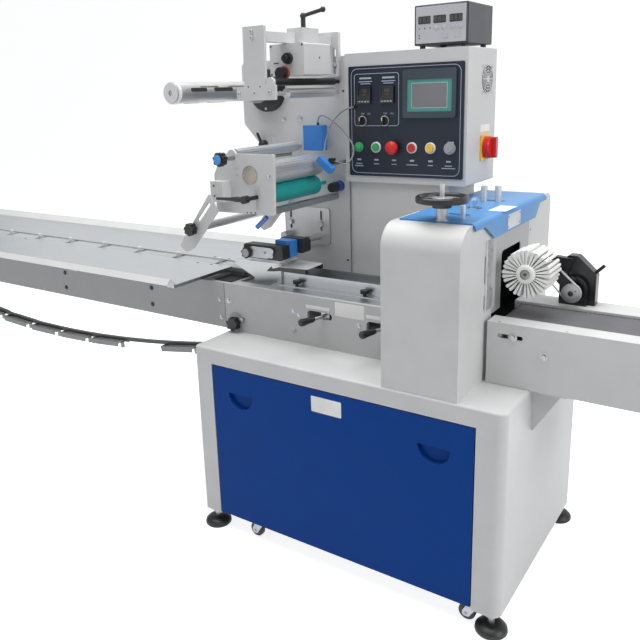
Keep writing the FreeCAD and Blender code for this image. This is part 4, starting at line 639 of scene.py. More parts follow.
def machine(point):
    """A point of a mesh, back in machine millimetres."""
    return (Vector(point) - ORIGIN) / MM


# Blender's own origin in machine millimetres. A master is made there, so that each of its
# copies needs only the move to its place.
AT_ZERO = machine((0, 0, 0))


def start_clean(piece=None):
    """Object mode, with nothing selected but the given piece."""
    active = bpy.context.view_layer.objects.active
    if active and active.mode != "OBJECT":
        bpy.ops.object.mode_set(mode="OBJECT")
    bpy.ops.object.select_all(action="DESELECT")
    if piece:
        piece.select_set(True)
        bpy.context.view_layer.objects.active = piece


def pick(piece, kind, test):
    """Edit mode, with only those faces, edges or vertices selected that pass the test."""
    start_clean(piece)
    bpy.ops.object.mode_set(mode="EDIT")
    bpy.ops.mesh.select_mode(type=kind)
    bpy.ops.mesh.select_all(action="DESELECT")
    mesh = bmesh.from_edit_mesh(piece.data)
    parts = {"FACE": mesh.faces, "EDGE": mesh.edges, "VERT": mesh.verts}[kind]
    for part in parts:
        if test(part):
            part.select_set(True)
    bmesh.update_edit_mesh(piece.data)


def middle(face):
    return machine(face.calc_center_median())


def runs_along(edge, axis):
    direction = (edge.verts[1].co - edge.verts[0].co).normalized()
    return abs(direction.dot(axis)) > 0.99

# %% [markdown]
# When a piece has its shape it is shaded smooth up to an angle, and gets its finish and the body
# it moves with.

# %% Finishing a piece
def leave_edit(smooth=35.0):
    """Back to object mode, smooth up to an angle, so that round parts shine and edges stay."""
    bpy.ops.object.mode_set(mode="OBJECT")
    bpy.ops.object.shade_smooth_by_angle(angle=math.radians(smooth))


def place_piece(piece, finish, body="machine"):
    """Gives a finished piece its material and its body."""
    piece.data.materials.clear()
    piece.data.materials.append(FINISH[finish])
    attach(piece, body)
    print("made", piece.name, "with", len(piece.data.polygons), "faces")
    return piece

# %% [markdown]
# Most small parts here are one of three forms. A block is a scaled cube whose edges are
# bevelled, a turned part is a disc extruded and resized ring by ring along its axis, and a
# plate is a polygon with its corners moved to an outline, then extruded.

# %% Blocks
def block(name, low, high, corner=0.0, along=Z_AXIS, edge=0.5):
    """A box between two corners. Corners along one axis may have a larger radius."""
    start_clean()
    bpy.ops.mesh.primitive_cube_add(size=1, location=(at(*low) + at(*high)) / 2)
    piece = bpy.context.object
    piece.name = name
    piece.scale = [(b - a) * MM for a, b in zip(low, high)]
    bpy.ops.object.transform_apply(location=True, rotation=True, scale=True)
    if corner:
        pick(piece, "EDGE", lambda e: runs_along(e, along))
        bpy.ops.mesh.bevel(offset=corner * MM, segments=5, affect="EDGES")
    if edge:
        pick(piece, "EDGE", lambda e: e.calc_face_angle(0) > 0.8)
        bpy.ops.mesh.bevel(offset=edge * MM, segments=2, affect="EDGES")
    else:
        pick(piece, "EDGE", lambda e: False)
    leave_edit()
    return piece


def finished_block(name, low, high, corner, along, edge, finish):
    return place_piece(block(name, low, high, corner, along, edge), finish)


# %% Turned parts
def turned(name, place, axis, profile, sides=32):
    """A disc whose face is extruded and resized along (distance, radius) pairs."""
    start_clean()
    turn = Vector(axis).to_track_quat("Z", "Y").to_euler()
    first, radius = profile[0]
    bpy.ops.mesh.primitive_circle_add(vertices=sides, radius=radius * MM, fill_type="NGON",
                                      location=at(*place) + Vector(axis) * first * MM, rotation=turn)
    piece = bpy.context.object
    piece.name = name
    bpy.ops.object.mode_set(mode="EDIT")
    bpy.ops.mesh.select_all(action="SELECT")
    start = first
    here = Vector((0, 0, 0))
    for distance, wide in profile[1:]:
        step = Vector(axis) * (distance - first) * MM
        here.z = (distance - start) * MM
        bpy.ops.mesh.extrude_region_move(TRANSFORM_OT_translate={"value": step})
        share = wide / radius
        if abs(share - 1) > 1e-6:
            bpy.ops.transform.resize(value=(share, share, share),
                                     center_override=piece.matrix_world @ here)
        first, radius = distance, wide
    bpy.ops.mesh.select_all(action="SELECT")
    bpy.ops.mesh.normals_make_consistent(inside=False)
    leave_edit()
    bpy.ops.object.transform_apply(location=True, rotation=True, scale=True)
    return piece


# %% Plates
def plate(name, outline, lift, corner=0.0, edge=0.3):
    """A polygon through 3-D points, extruded by lift, with its corners rounded."""
    start_clean()
    bpy.ops.mesh.primitive_circle_add(vertices=len(outline), radius=1, fill_type="NGON")
    piece = bpy.context.object
    piece.name = name
    for vertex, place in zip(piece.data.vertices, outline):
        vertex.co = at(*place)
    move = Vector(lift) * MM
    bpy.ops.object.mode_set(mode="EDIT")
    bpy.ops.mesh.select_all(action="SELECT")
    bpy.ops.mesh.extrude_region_move(TRANSFORM_OT_translate={"value": move})
    bpy.ops.mesh.select_all(action="SELECT")
    bpy.ops.mesh.normals_make_consistent(inside=False)
    if corner:
        pick(piece, "EDGE", lambda e: runs_along(e, move.normalized()))
        bpy.ops.mesh.bevel(offset=corner * MM, segments=4, affect="EDGES")
    if edge:
        pick(piece, "EDGE", lambda e: e.calc_face_angle(0) > 0.8)
        bpy.ops.mesh.bevel(offset=edge * MM, segments=1, affect="EDGES")
    leave_edit()
    bpy.ops.object.transform_apply(location=True, rotation=True, scale=True)
    return piece


def rectangle_xz(x0, x1, z0, z1, y):
    return [(x0, y, z0), (x1, y, z0), (x1, y, z1), (x0, y, z1)]


def rectangle_yz(y0, y1, z0, z1, x):
    return [(x, y0, z0), (x, y1, z0), (x, y1, z1), (x, y0, z1)]


# %% [markdown]
# A few more steps come up again and again: a face is inset and pushed in for a dish, a piece is
# turned where it lies, pieces that belong together are joined, and what repeats is made once and
# copied, each copy with its own mesh.

# %% Dishes, turns, joins and copies
def hollow_out(piece, normal, rim, depth):
    """Insets the faces that look along normal and pushes them in, as for a dish."""
    pick(piece, "FACE", lambda f: f.normal.dot(normal) > 0.99)
    bpy.ops.mesh.inset(thickness=rim * MM, depth=0)
    bpy.ops.mesh.extrude_region_move(TRANSFORM_OT_translate={"value": Vector(normal) * depth * MM})
    leave_edit()


def spin(piece, x, z, angle):
    """Turns a piece's mesh about an axis that runs from front to back, by an angle in radians."""
    centre = Matrix.Translation(at(x, 0, z))
    piece.data.transform(centre @ Matrix.Rotation(angle, 4, "Y") @ centre.inverted())


def join_pieces(name, pieces):
    """Joins pieces into the first one, which takes the name."""
    start_clean()
    for piece in pieces:
        piece.select_set(True)
    bpy.context.view_layer.objects.active = pieces[0]
    bpy.ops.object.join()
    pieces[0].name = name
    return pieces[0]


def copies_of(name, master, moves):
    """Joins copies of a master, each with its own mesh and move. The master is removed."""
    copies = []
    for move in moves:
        copy = bpy.data.objects.new(name, master.data.copy())
        bpy.context.scene.collection.objects.link(copy)
        copy.data.transform(move)
        copies.append(copy)
    bpy.data.objects.remove(master)
    return join_pieces(name, copies)


def stamp(name, master, places, turn=None):
    """Copies of a master in one piece, each turned alike and moved to its place."""
    moves = [Matrix.Translation(at(*place)) @ (turn or Matrix()) for place in places]
    return copies_of(name, master, moves)

# %% [markdown]
# ## Nodes of more than one finish
# A bought-in fitting is often several materials in one body, such as a black knob on a plated
# stud. Such a CAD node is copied, the copy's doubled corners are merged, and its faces take
# their finish by where they are. The copy then stands for the node.

# %% Copy a node and finish it by place
def coloured_copy(node, rules, body="machine", keep=None):
    """rules: (finish, test) pairs; a test gets a face's middle in mm. The last that holds wins."""
    piece = bpy.data.objects.new(node + "_finished", frame["nodes"][node].data.copy())
    bpy.context.scene.collection.objects.link(piece)
    start_clean(piece)
    bpy.ops.object.mode_set(mode="EDIT")
    bpy.ops.mesh.select_all(action="SELECT")
    bpy.ops.mesh.remove_doubles(threshold=0.00001)
    bpy.ops.object.mode_set(mode="OBJECT")
    if piece.data.has_custom_normals:
        bpy.ops.mesh.customdata_custom_splitnormals_clear()
    bpy.ops.object.shade_smooth_by_angle(angle=math.radians(32))
    names = list(dict.fromkeys([SLOT_OF[node]] + [finish for finish, _ in rules]))
    piece.data.materials.clear()
    for finish in names:
        piece.data.materials.append(FINISH[finish])
    for face in piece.data.polygons:
        face.material_index = 0
        place = machine(face.center)
        for finish, test in rules:
            if test(place):
                face.material_index = names.index(finish)
    if keep:
        pick(piece, "FACE", lambda f: not keep(middle(f)))
        bpy.ops.mesh.delete(type="FACE")
        bpy.ops.object.mode_set(mode="OBJECT")
    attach(piece, body)
    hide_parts(node)
    print("copied", node, "with finishes", names)
    return piece


def off_axis(p, x, z):
    """Distance of a point from an axis that runs from front to back."""
    return math.hypot(p.x - x, p.z - z)


def off_upright(p, x, y):
    """Distance of a point from an upright axis."""
    return math.hypot(p.x - x, p.y - y)


def inside(p, low, high):
    return all(a <= v <= b for v, a, b in zip(p, low, high))


CASTER_AXLES = [(x - 16, y) for x in (202, 898) for y in (34, 614)]


def on_caster_wheel(p):
    return any(abs(p.y - y) < 11.6 and off_axis(p, x, 26) < 23.6 for x, y in CASTER_AXLES)

# %% [markdown]
# The feet are black pads on plated studs, casters are grey wheels in plated forks, and the lever
# rods are plated up to their grips. Each row below says which faces are which.

# %% Base, levers and film side
FOOT_PAD_TOP = 26.3
PRODUCT_Y = 305
REEL_X, REEL_Z, REEL_SHAFT_R = -15, 1362, 30.0
STAR_KNOB_X, STAR_KNOB_Z = 113, 1176


def everywhere(p):
    return True


coloured_copy("levelling_feet", [("zinc_steel", lambda p: p.z > FOOT_PAD_TOP)])
coloured_copy("infeed_stand", [("zinc_steel", lambda p: p.z < 57.5),
                               ("black_plastic", lambda p: p.z < FOOT_PAD_TOP)])
coloured_copy("casters", [("zinc_steel", everywhere), ("caster_grey", on_caster_wheel)])
for lever in ("fin_lever_left", "fin_lever_right"):
    coloured_copy(lever, [("zinc_steel", lambda p: p.y > 138)], body=lever + "_body")
coloured_copy("reel_shaft", [("frame_paint", lambda p: p.y > 376)], body="reel_shaft_body")
coloured_copy("wall_fittings", [("cabinet_paint", lambda p: p.z > 1390),
                                ("black_plastic", lambda p: off_axis(p, REEL_X, REEL_Z) < 69 and
                                 p.y > 430)])
coloured_copy("coder_box", [("black_plastic", lambda p: p.y < 199.5)])
coloured_copy("star_knobs", [("zinc_steel", lambda p: p.y > 53 and
                              off_axis(p, STAR_KNOB_X, STAR_KNOB_Z) < 7.2),
                             ("zinc_steel", lambda p: off_axis(p, 58, 659) < 8)])
coloured_copy("belts", [("white_plastic", lambda p: p.z > 780)])
coloured_copy("film_former", [("chain_steel", lambda p: p.x > 111 and 806 < p.z < 819.9),
                              ("white_plastic", lambda p: p.x > 141 and p.z > 819.9)])
coloured_copy("outfeed_frame", [("jaw_steel", lambda p: p.z > 700 and p.y < 222),
                                ("cabinet_paint", lambda p: p.z < 617)])
# Painted light: the carriers are one colour on the real chain, but the return run is painted a
# lighter grey to lift the shade under the tray, and the top run a darker grey.
coloured_copy("infeed_chain", [("lightened_flight_grey", lambda p: abs(p.y - PRODUCT_Y) > 8),
                               ("grey_plastic", lambda p: p.z > 772),
                               ("white_plastic", lambda p: p.z > 802)])
# The tray's folded lips take the pale cabinet paint as a painted reflection: it stands for the
# bright sheen of the stainless lip.
coloured_copy("infeed_tray", [("cabinet_paint", lambda p: p.y < 10.5 or p.y > 599.5)])
coloured_copy("table_side_plates", [("table_grey", everywhere)])
coloured_copy("window_plate", [("frame_paint", everywhere)])
coloured_copy("brush_housing", [("gloss_black", everywhere)])
# The faces lining the window opening are painted black as painted shade: the black stands for the
# shade inside the opening.
coloured_copy("sealer_covers", [("gloss_black", lambda p: p.z < 1034 and
                                 (216 < p.y < 218 or 500 < p.y < 502))])

# %% Sensors and small fittings
SENSOR_KNOB = (256, 1059)
PHOTOCELL_KNOB = (48, 866)
WHEEL_AXIS = (766, 93)
coloured_copy("film_sensors", [
    ("cable_rubber", lambda p: inside(p, (195, 400, 1252.2), (215, 416, 1262))),
    ("zinc_steel", lambda p: inside(p, (199, 424.5, 1189), (207, 451, 1241))),
    ("zinc_steel", lambda p: off_axis(p, 281, 1138) < 6.6 and p.y > 339.5),
    ("cable_rubber", lambda p: inside(p, (284, 338, 1140), (302, 356, 1158))),
    ("black_plastic", lambda p: off_axis(p, *SENSOR_KNOB) < 15.5 and p.y < 421.2),
    ("knob_blue", lambda p: 15.5 < off_axis(p, *SENSOR_KNOB) < 17.5 or
        (off_axis(p, *SENSOR_KNOB) < 17.5 and p.y > 419.9 and p.z < 1080)),
    ("zinc_steel", lambda p: off_axis(p, 171, 889) < 8.6 and p.y > 334.2),
    ("black_plastic", lambda p: inside(p, (100, 299.5, 860), (215, 334.5, 909))),
    ("black_plastic", lambda p: inside(p, (27, 225.5, 847), (183, 262.1, 894))),
    ("anodised", lambda p: inside(p, (63, 221, 854), (147, 225.4, 886))),
    ("black_plastic", lambda p: off_axis(p, *PHOTOCELL_KNOB) < 18.6 and p.y < 227),
])


def in_fan(p):
    return math.hypot(p.y - 575, p.z - 1374) < 41


coloured_copy("hood_fittings", [("roller_chrome", lambda p: off_upright(p, *WHEEL_AXIS) > 20),
                                ("clear_plastic", lambda p: 280 < p.y < 350)])
coloured_copy("handwheel", [
    ("anodised", lambda p: off_upright(p, *WHEEL_AXIS) < 49 and p.z > 1092),
    ("roller_chrome", lambda p: off_upright(p, *WHEEL_AXIS) < 6.5 and p.z > 1097),
], body="handwheel_body")
coloured_copy("box_side_fittings", [
    ("cabinet_paint", in_fan),
    ("gloss_black", lambda p: in_fan(p) and p.x < 689.3),
])

# %% [markdown]
# ## Control panel
# The panel is a printed navy plate. Its collars are plated, the push buttons sit in white
# rings, and the touch screen has a teal rim. The printed outlines are modelled as ribbons a
# fraction of a millimetre thick: a rounded plate, inset by the line's width, with its middle
# removed. Legends are plain bars, and the only characters are numbers on displays and ON and
# OFF over the selectors.

# %% Panel finishes by place
FACE_Y = 427.0
BUTTONS_Z = 1185.0
SELECTORS_Z = 1263.0
BUTTON_ROW_TOP = 1210
LAMP_X, STOP_X, SPEED_X = 342, 462, 640


def before_panel(p):
    return p.y < FACE_Y - 0.05


def in_button_row(p, x, reach):
    return before_panel(p) and abs(p.x - x) < reach and p.z < BUTTON_ROW_TOP


coloured_copy("control_panel", [
    ("zinc_steel", before_panel),
    ("white_plastic", lambda p: before_panel(p) and abs(p.z - BUTTONS_Z) < 18),
    ("black_plastic", lambda p: in_button_row(p, STOP_X, 17)),
    ("grey_plastic", lambda p: in_button_row(p, SPEED_X, 18)),
    ("green_plastic", lambda p: in_button_row(p, LAMP_X, 16)),
])
coloured_copy("panel_instruments", [
    ("screen_frame", lambda p: p.x > 490),
    ("bezel_teal", lambda p: inside(p, (506.5, 421, 1288), (645.5, 423, 1379))),
])

# %% Printed outlines
def outline_ribbon(name, x0, x1, z0, z1, radius, width=1.6, y=FACE_Y):
    """A closed printed line: a thin rounded plate with its middle taken out."""
    piece = plate(name, rectangle_xz(x0, x1, z0, z1, y - 0.45), (0, 0.3, 0), radius, edge=0)
    pick(piece, "FACE", lambda f: abs(f.normal.y) > 0.99)
    bpy.ops.mesh.inset(thickness=width * MM, depth=0, use_individual=True)
    bpy.ops.mesh.bridge_edge_loops()
    bpy.ops.object.mode_set(mode="OBJECT")
    return piece


lines = [outline_ribbon("line", 316, 670, 1106, 1416, 20),
         outline_ribbon("line", 327, 478, 1248, 1401, 9),
         outline_ribbon("line", 520, 632, 1298, 1369, 3, 2.2, 422)]
print("outline faces:", [len(line.data.polygons) for line in lines])
place_piece(join_pieces("panel_outlines", lines), "print_white")


# %% Screen, legends and display numbers
def bars(name, rows, y, finish, depth=0.3):
    """Flat printed bars, one for each (x0, x1, z0, z1)."""
    made = [block("bar", (x0, y - depth, z0), (x1, y - 0.02, z1), edge=0)
            for x0, x1, z0, z1 in rows]
    return place_piece(join_pieces(name, made), finish)


def writing(text, x, z, y, height):
    """Numbers or ON and OFF as a flat mesh that faces the front, centred on x and z."""
    start_clean()
    bpy.ops.object.text_add(location=at(x, y, z), rotation=(math.pi / 2, 0, 0))
    words = bpy.context.object
    words.data.body = text
    words.data.size = height * MM / 0.7
    words.data.align_x = "CENTER"
    words.data.align_y = "CENTER"
    words.data.extrude = 0.1 * MM
    bpy.ops.object.convert(target="MESH")
    words = bpy.context.object
    bpy.ops.object.transform_apply(location=True, rotation=True, scale=True)
    return words


screen = plate("touch_screen_glass", rectangle_xz(522.5, 629.5, 1300.5, 1366.5, 421.9),
               (0, 0.6, 0), 1.5)
place_piece(screen, "screen_grey")

MIDDLE_ROW = ((342, 11), (402, 9), (462, 9), (521, 18), (580, 8), (636, 11))
LEGENDS = [(x - 7, x + 7, 1145, 1150) for x, _ in MIDDLE_ROW]
LEGENDS += [(x - half, x + half, 1134, 1136.4) for x, half in MIDDLE_ROW]
LEGENDS += [(x - half, x + half, 1127, 1129.4) for x, half in ((342, 15), (636, 21))]
for centre in (366, 443):
    LEGENDS += [(centre - 20, centre + 20, 1385, 1390), (centre - 23, centre + 23, 1376.5, 1379),
                (centre - 17, centre + 17, 1370.5, 1373)]
bars("panel_legends", LEGENDS, FACE_Y, "print_white")

words = [writing(text, x + dx, 1284, FACE_Y - 0.15, 5.0)
         for x in (357, 434) for text, dx in (("OFF", -1), ("ON", 20))]
place_piece(join_pieces("selector_marks", words), "print_white")

digits = []
for x in (363.5, 440.5):
    digits += [writing("180", x, 1351, 420.6, 9.0), writing("180", x, 1339.5, 420.6, 6.0)]
place_piece(join_pieces("controller_digits", digits), "dim_digits")
keys = [block("key", (x + dx, 417.6, 1318), (x + dx + 7, 419.2, 1322), edge=0.4)
        for x in (341, 418) for dx in (4, 14, 24, 34)]
place_piece(join_pieces("controller_keys", keys), "grey_plastic")

# %% Rings, selector marks and cable gland
# A collar's profile ends at the panel's face, so that a pressed button doesn't reach its back.
collars = [turned("collar", (x, FACE_Y - 4, BUTTONS_Z), -Y_AXIS,
                  [(-3.9, 16.4), (0, 16.2), (1.6, 15), (1.6, 12.5), (-3.9, 12.3)])
           for x in (402, 521, 580)]
place_piece(join_pieces("button_collars", collars), "white_plastic")
for side, x in (("left", 356), ("right", 432)):
    mark = block("mark", (x - 1.1, 404.4, SELECTORS_Z + 1),
                 (x + 1.1, 405.2, SELECTORS_Z + 11), edge=0.2)
    mark.name = "selector_mark_" + side
    place_piece(mark, "label_white", "selector_" + side + "_body")
    rim = turned("selector_rim_" + side, (x, FACE_Y - 4, SELECTORS_Z), -Y_AXIS,
                 [(0, 15.2), (1.5, 14.6), (1.5, 13.3), (0.1, 13.2)])
    place_piece(rim, "roller_chrome")
pointer = plate("speed_pointer", [(SPEED_X, 407, 1196), (658, 407, 1201), (658, 407, 1205),
                                  (SPEED_X, 407, 1205)], (0, 6, 0), 1.0)
place_piece(pointer, "grey_plastic", "speed_knob_body")
gland = turned("cable_gland", PANEL_CABLE[0], -Y_AXIS,
               [(0, 7), (2, 7), (2, 5), (5, 4.4), (9, 2.9)])
place_piece(gland, "cable_rubber")

# %% [markdown]
# ## On top and on the side of the control box
# The static bar supply is a bought-in instrument: a folded charcoal case, a pale front in a dark
# frame, three windows and a membrane of keys. The copy of its node is cut flat at the front,
# and a new front is laid on it.

# %% Static bar supply
case = coloured_copy("instrument_box", [("black_plastic", lambda p: p.z < 1471)])
pick(case, "VERT", lambda v: False)
bpy.ops.mesh.select_all(action="SELECT")
bpy.ops.mesh.bisect(plane_co=at(0, 452.6, 0), plane_no=(0, -1, 0), use_fill=True,
                    clear_outer=True)
bpy.ops.object.mode_set(mode="OBJECT")
SUPPLY_FACE_Y = 451.0
WINDOWS_X = (526.5, 573, 621.5)
WINDOW_WIDTH = 38
front = plate("supply_front", rectangle_xz(519, 669.5, 1476.5, 1575, SUPPLY_FACE_Y),
              (0, 1.8, 0), 1.0)
place_piece(front, "face_grey")
windows = [plate("window", rectangle_xz(x, x + WINDOW_WIDTH, 1529, 1549.5, 450.2),
                 (0, 0.9, 0), 2.5) for x in WINDOWS_X]
place_piece(join_pieces("supply_windows", windows), "gloss_black")
digits = [writing("8.8.8", x + WINDOW_WIDTH / 2, 1539, 450.0, 13) for x in WINDOWS_X]
place_piece(join_pieces("supply_digits", digits), "dim_digits")
pads, caps = [], []
for x in (582, 605, 631, 654):
    key_place = (x, SUPPLY_FACE_Y, 1517)
    pads.append(turned("pad", key_place, -Y_AXIS, [(0, 7.6), (0.5, 7.4)], 24))
    caps.append(turned("cap", key_place, -Y_AXIS, [(0, 6.4), (0.7, 6.3), (0.9, 5.9)], 24))
for x in (609, 645):
    rim = rectangle_xz(x - 8.5, x + 8.5, 1487, 1504, 450.5)
    pads.append(plate("pad", rim, (0, 0.6, 0), 2))
    top = rectangle_xz(x - 6.8, x + 6.8, 1488.7, 1502.3, 450.1)
    caps.append(plate("cap", top, (0, 0.9, 0), 1.5))
place_piece(join_pieces("supply_key_rims", pads), "frame_paint")
place_piece(join_pieces("supply_keys", caps), "face_grey")
dots = [turned("dot", (x, SUPPLY_FACE_Y, z), -Y_AXIS, [(0, 1.9), (0.8, 1.5), (1.1, 0.5)], 12)
        for x, z in ((530, 1517), (547, 1517), (563, 1517), (530, 1499), (530, 1491))]
place_piece(join_pieces("supply_lamps", dots), "black_plastic")

# %% [markdown]
# The right side has a bare label by the main switch and a fan behind a grille. Its four screws
# are the first fasteners. A fastener is made once, looking up, and then stamped: copied, turned
# to its face and moved to each of its places.

# %% Isolator label and fan screws
BOX_SIDE_X = 688.0
isolator_label = plate("isolator_label", rectangle_yz(532, 604, 1225, 1245, BOX_SIDE_X),
                       (0.4, 0, 0), 1.5, edge=0)
place_piece(isolator_label, "label_white")


def pan_screw(radius=4.5, lift=2.2):
    """A low domed screw head that looks up."""
    return turned("screw", AT_ZERO, Z_AXIS, [
        (0, radius), (lift * 0.45, radius * 0.97), (lift * 0.85, radius * 0.75),
        (lift, radius * 0.45)], 16)


RIGHT = Matrix.Rotation(math.pi / 2, 4, "Y")
FRONT = Matrix.Rotation(math.pi / 2, 4, "X")


def fasten(name, master, places, turn=None, finish="zinc_steel", body="machine"):
    """Places a master on a face: FRONT for one that looks forward, RIGHT for one to the right."""
    return place_piece(stamp(name, master, places, turn), finish, body)


fasten("fan_screws", pan_screw(5, 2.5),
       [(BOX_SIDE_X, y, z) for y in (539, 611) for z in (1336, 1409)], RIGHT)

# %% [markdown]
# ## Take-off brush
# The brush is a hub with flat tufts of nylon, each narrow at its root and wide at its tip. One
# tuft is five thin slats of uneven length, fanned a little, so that its end frays. It is copied
# round the hub with small changes of length, because no brush is even.

# %% Brush tufts
BRUSH_X, BRUSH_Z = 932, 894
HUB = (BRUSH_X, 281, BRUSH_Z)
PULLEY_X, PULLEY_Z = 1009, 819
TUFTS = 28
SLAT_LENGTHS = (0.965, 0.99, 1.0, 0.98, 0.955)


def brush_slat(offset, length):
    """One slat of a tuft over the hub's centre, its root narrow and its tip wide."""
    tip = 23 + 39 * length
    root_x = BRUSH_X + offset * 0.4
    slat = block("slat", (root_x - 0.35, 232.5, 916.5), (root_x + 0.35, 329.5, BRUSH_Z + tip),
                 edge=0)
    pick(slat, "FACE", lambda f: f.normal.z > 0.9)
    bpy.ops.transform.translate(value=(offset * 1.25 * MM, 0, 0))
    bpy.ops.transform.resize(value=(2.6, 0.985, 1))
    bpy.ops.object.mode_set(mode="OBJECT")
    return slat


def ring_of(name, master, centre, count, sizes):
    """Copies round an axis that runs from front to back, each a little shorter and turned."""
    moves = []
    middle_point = Matrix.Translation(at(*centre))
    for i in range(count):
        uneven = sizes[i % len(sizes)]
        turn = Matrix.Rotation(2 * math.pi * i / count + 0.05 * uneven, 4, "Y")
        size = Matrix.Diagonal((1, 1, 1 - 0.03 * uneven, 1))
        moves.append(middle_point @ turn @ size @ middle_point.inverted())
    return copies_of(name, master, moves)


tuft = join_pieces("tuft", [brush_slat(i - 2, length) for i, length in enumerate(SLAT_LENGTHS)])
tufts = ring_of("brush_tufts", tuft, HUB, TUFTS, (0.0, 1.0, 0.3, 0.7, 0.1, 0.9, 0.5))
place_piece(tufts, "bristle_white", "brush_wheel_body")
coloured_copy("brush_wheel", [], body="brush_wheel_body", keep=lambda p: p.y > 330.5)
hub = turned("brush_hub", (BRUSH_X, 0, BRUSH_Z), Y_AXIS,
             [(227, 19), (228, 22), (230, 24.2), (330, 24.2), (331, 20)], 48)
hollow_out(hub, -Y_AXIS, 6, -2.5)
place_piece(hub, "bristle_white", "brush_wheel_body")
bearing = turned("brush_bearing", (BRUSH_X, 0, BRUSH_Z), Y_AXIS,
                 [(226.5, 11.5), (227, 12.4), (229.6, 12.6)], 40)
hollow_out(bearing, -Y_AXIS, 2.4, -1.2)
place_piece(bearing, "jaw_steel", "brush_wheel_body")
pulley_disc = turned("pulley_face", (PULLEY_X, 0, PULLEY_Z), Y_AXIS,
                     [(369.6, 22.6), (370.2, 23.6), (371.9, 23.8)], 48)
hollow_out(pulley_disc, -Y_AXIS, 14.5, -0.7)
place_piece(pulley_disc, "anodised", "brush_pulley_body")

# %% [markdown]
# ## Fasteners
# Three masters serve for all: a hexagon bolt on its washer, a cap screw with its socket pressed
# in, and the domed screw above. Small heads hold covers, and larger ones hold what carries load.

# %% Bolt and screw masters
def hex_bolt(radius, washer=1.55, lift=5.0):
    """A hexagon head, a little smaller at its top, on a flat washer."""
    ring = turned("bolt", AT_ZERO, Z_AXIS,
                  [(0, radius * washer), (1.1, radius * washer), (1.3, radius * 1.4)], 28)
    head = turned("bolt", AT_ZERO, Z_AXIS,
                  [(1.2, radius), (lift * 0.86, radius), (lift, radius * 0.84)], 6)
    return join_pieces("bolt", [ring, head])


def socket_screw(radius, lift=3.5):
    """A round head with a round socket sunk in it."""
    head = turned("screw", AT_ZERO, Z_AXIS,
                  [(0, radius), (lift * 0.8, radius), (lift, radius * 0.86)], 24)
    pick(head, "FACE", lambda f: f.normal.z > 0.99)
    bpy.ops.mesh.inset(thickness=radius * 0.36 * MM, depth=0)
    bpy.ops.mesh.extrude_region_move(TRANSFORM_OT_translate={"value": (0, 0, -lift * 0.7 * MM)})
    leave_edit(30)
    return head


# %% Bolts of the table, the infeed and the outfeed
# The front of the table plate and of the infeed's side.
TABLE_Y = 169
TABLE_BOLTS = ((2, 713), (258, 715), (278, 705), (256, 655), (486, 705))
INFEED_BOLTS = ((-821, 710), (-823, 651), (-350, 710), (-351, 651), (-1290, 710), (-1292, 651))
fasten("table_bolts", hex_bolt(6.0), [(x, TABLE_Y, z) for x, z in TABLE_BOLTS], FRONT)
fasten("infeed_joint_bolts", hex_bolt(4.6), [(-36, TABLE_Y, 712), (-33, TABLE_Y, 652)], FRONT)
fasten("infeed_side_bolts", hex_bolt(5.6), [(x, TABLE_Y, z) for x, z in INFEED_BOLTS], FRONT,
       "caster_grey")
fasten("outfeed_bolts", hex_bolt(7.2, 1.6, 6), [(928, 165, 747.5), (1006, 165, 710.5)], FRONT)
fasten("brush_bolt", hex_bolt(4.2, 1.3, 4), [(BRUSH_X, 229.5, BRUSH_Z)], FRONT,
       "chain_steel", "brush_wheel_body")
fasten("pulley_bolt", hex_bolt(5.2, 1.25, 3.4), [(PULLEY_X, 371.4, PULLEY_Z)], FRONT,
       "chain_steel", "brush_pulley_body")
fasten("pulley_screw", socket_screw(2.0, 1.0), [(1022, 369.7, 828)], FRONT,
       "chain_steel", "brush_pulley_body")
fasten("tray_screws", pan_screw(4.2, 1.4),
       [(x, y, 796.8) for x, y in ((-207, 258), (-146, 259), (-212, 352), (-146, 352),
                                   (-1180, 258))], None, "caster_grey")

# %% Fasteners of the film side
# The fronts of the film side's plates and of the wall behind them.
PLATE_Y = 100
WALL_Y = 450
fasten("coder_plate_bolts", socket_screw(5.6, 3),
       [(148, PLATE_Y, 1353.5), (255, PLATE_Y, 1355.5), (201.5, PLATE_Y, 1516),
        (201.5, PLATE_Y, 1500)], FRONT)
fasten("coder_plate_pins", socket_screw(2.2, 0.8),
       [(181, PLATE_Y, 1372), (222, PLATE_Y, 1371), (201, PLATE_Y, 1354.5)], FRONT,
       "caster_grey")
fasten("wall_bolts", hex_bolt(7.5, 1.5, 5), [(42, WALL_Y, 1270), (109, WALL_Y, 1272)], FRONT)
fasten("wall_screws", socket_screw(3.6, 1.2),
       [(274, WALL_Y, 1353), (273, WALL_Y, 1129), (281, WALL_Y, 817)], FRONT, "caster_grey")
fasten("lower_plate_bolts", socket_screw(3.2, 1.6),
       [(125, PLATE_Y, 1146.3), (123.5, PLATE_Y, 1127.5)], FRONT)
fasten("lower_plate_bolt", hex_bolt(5.4, 1.6), [(237.5, PLATE_Y, 1126)], FRONT)
fasten("lower_plate_pins", socket_screw(2.4, 0.8),
       [(153.8, PLATE_Y, 1018), (169, PLATE_Y, 1018.6), (184, PLATE_Y, 1019.4)], FRONT,
       "caster_grey")
fasten("coder_box_screws", pan_screw(3.0, 1.2),
       [(189, 200, 1480.5), (296, 200, 1480.5), (189, 200, 1404)], FRONT, "caster_grey")
fasten("coder_box_side_screw", pan_screw(3.2, 1.2), [(302, 278, 1447)], RIGHT, "caster_grey")
fasten("fin_plate_bolts", hex_bolt(7.0, 1.6, 6), [(65.6, 440, 935), (185.4, 440, 934.5)], FRONT)
# The right side of the sealer covers.
COVER_X = 852
fasten("rear_cover_screw", pan_screw(4.5, 1.8), [(COVER_X, 514, 953.5)], RIGHT)
fasten("reel_disc_screws", socket_screw(4.0, 1.2),
       [(REEL_X + 58 * math.cos(t), 434, REEL_Z + 58 * math.sin(t))
        for t in (-1.62, -0.1, 1.5, 3.1)], FRONT)

# %% [markdown]
# ## Infeed details
# Each pusher is followed by a flat carrier cap that fills the slot almost up to the tray, so
# that small products can't tip into it. One cap is made and copied at the chain's pitch.

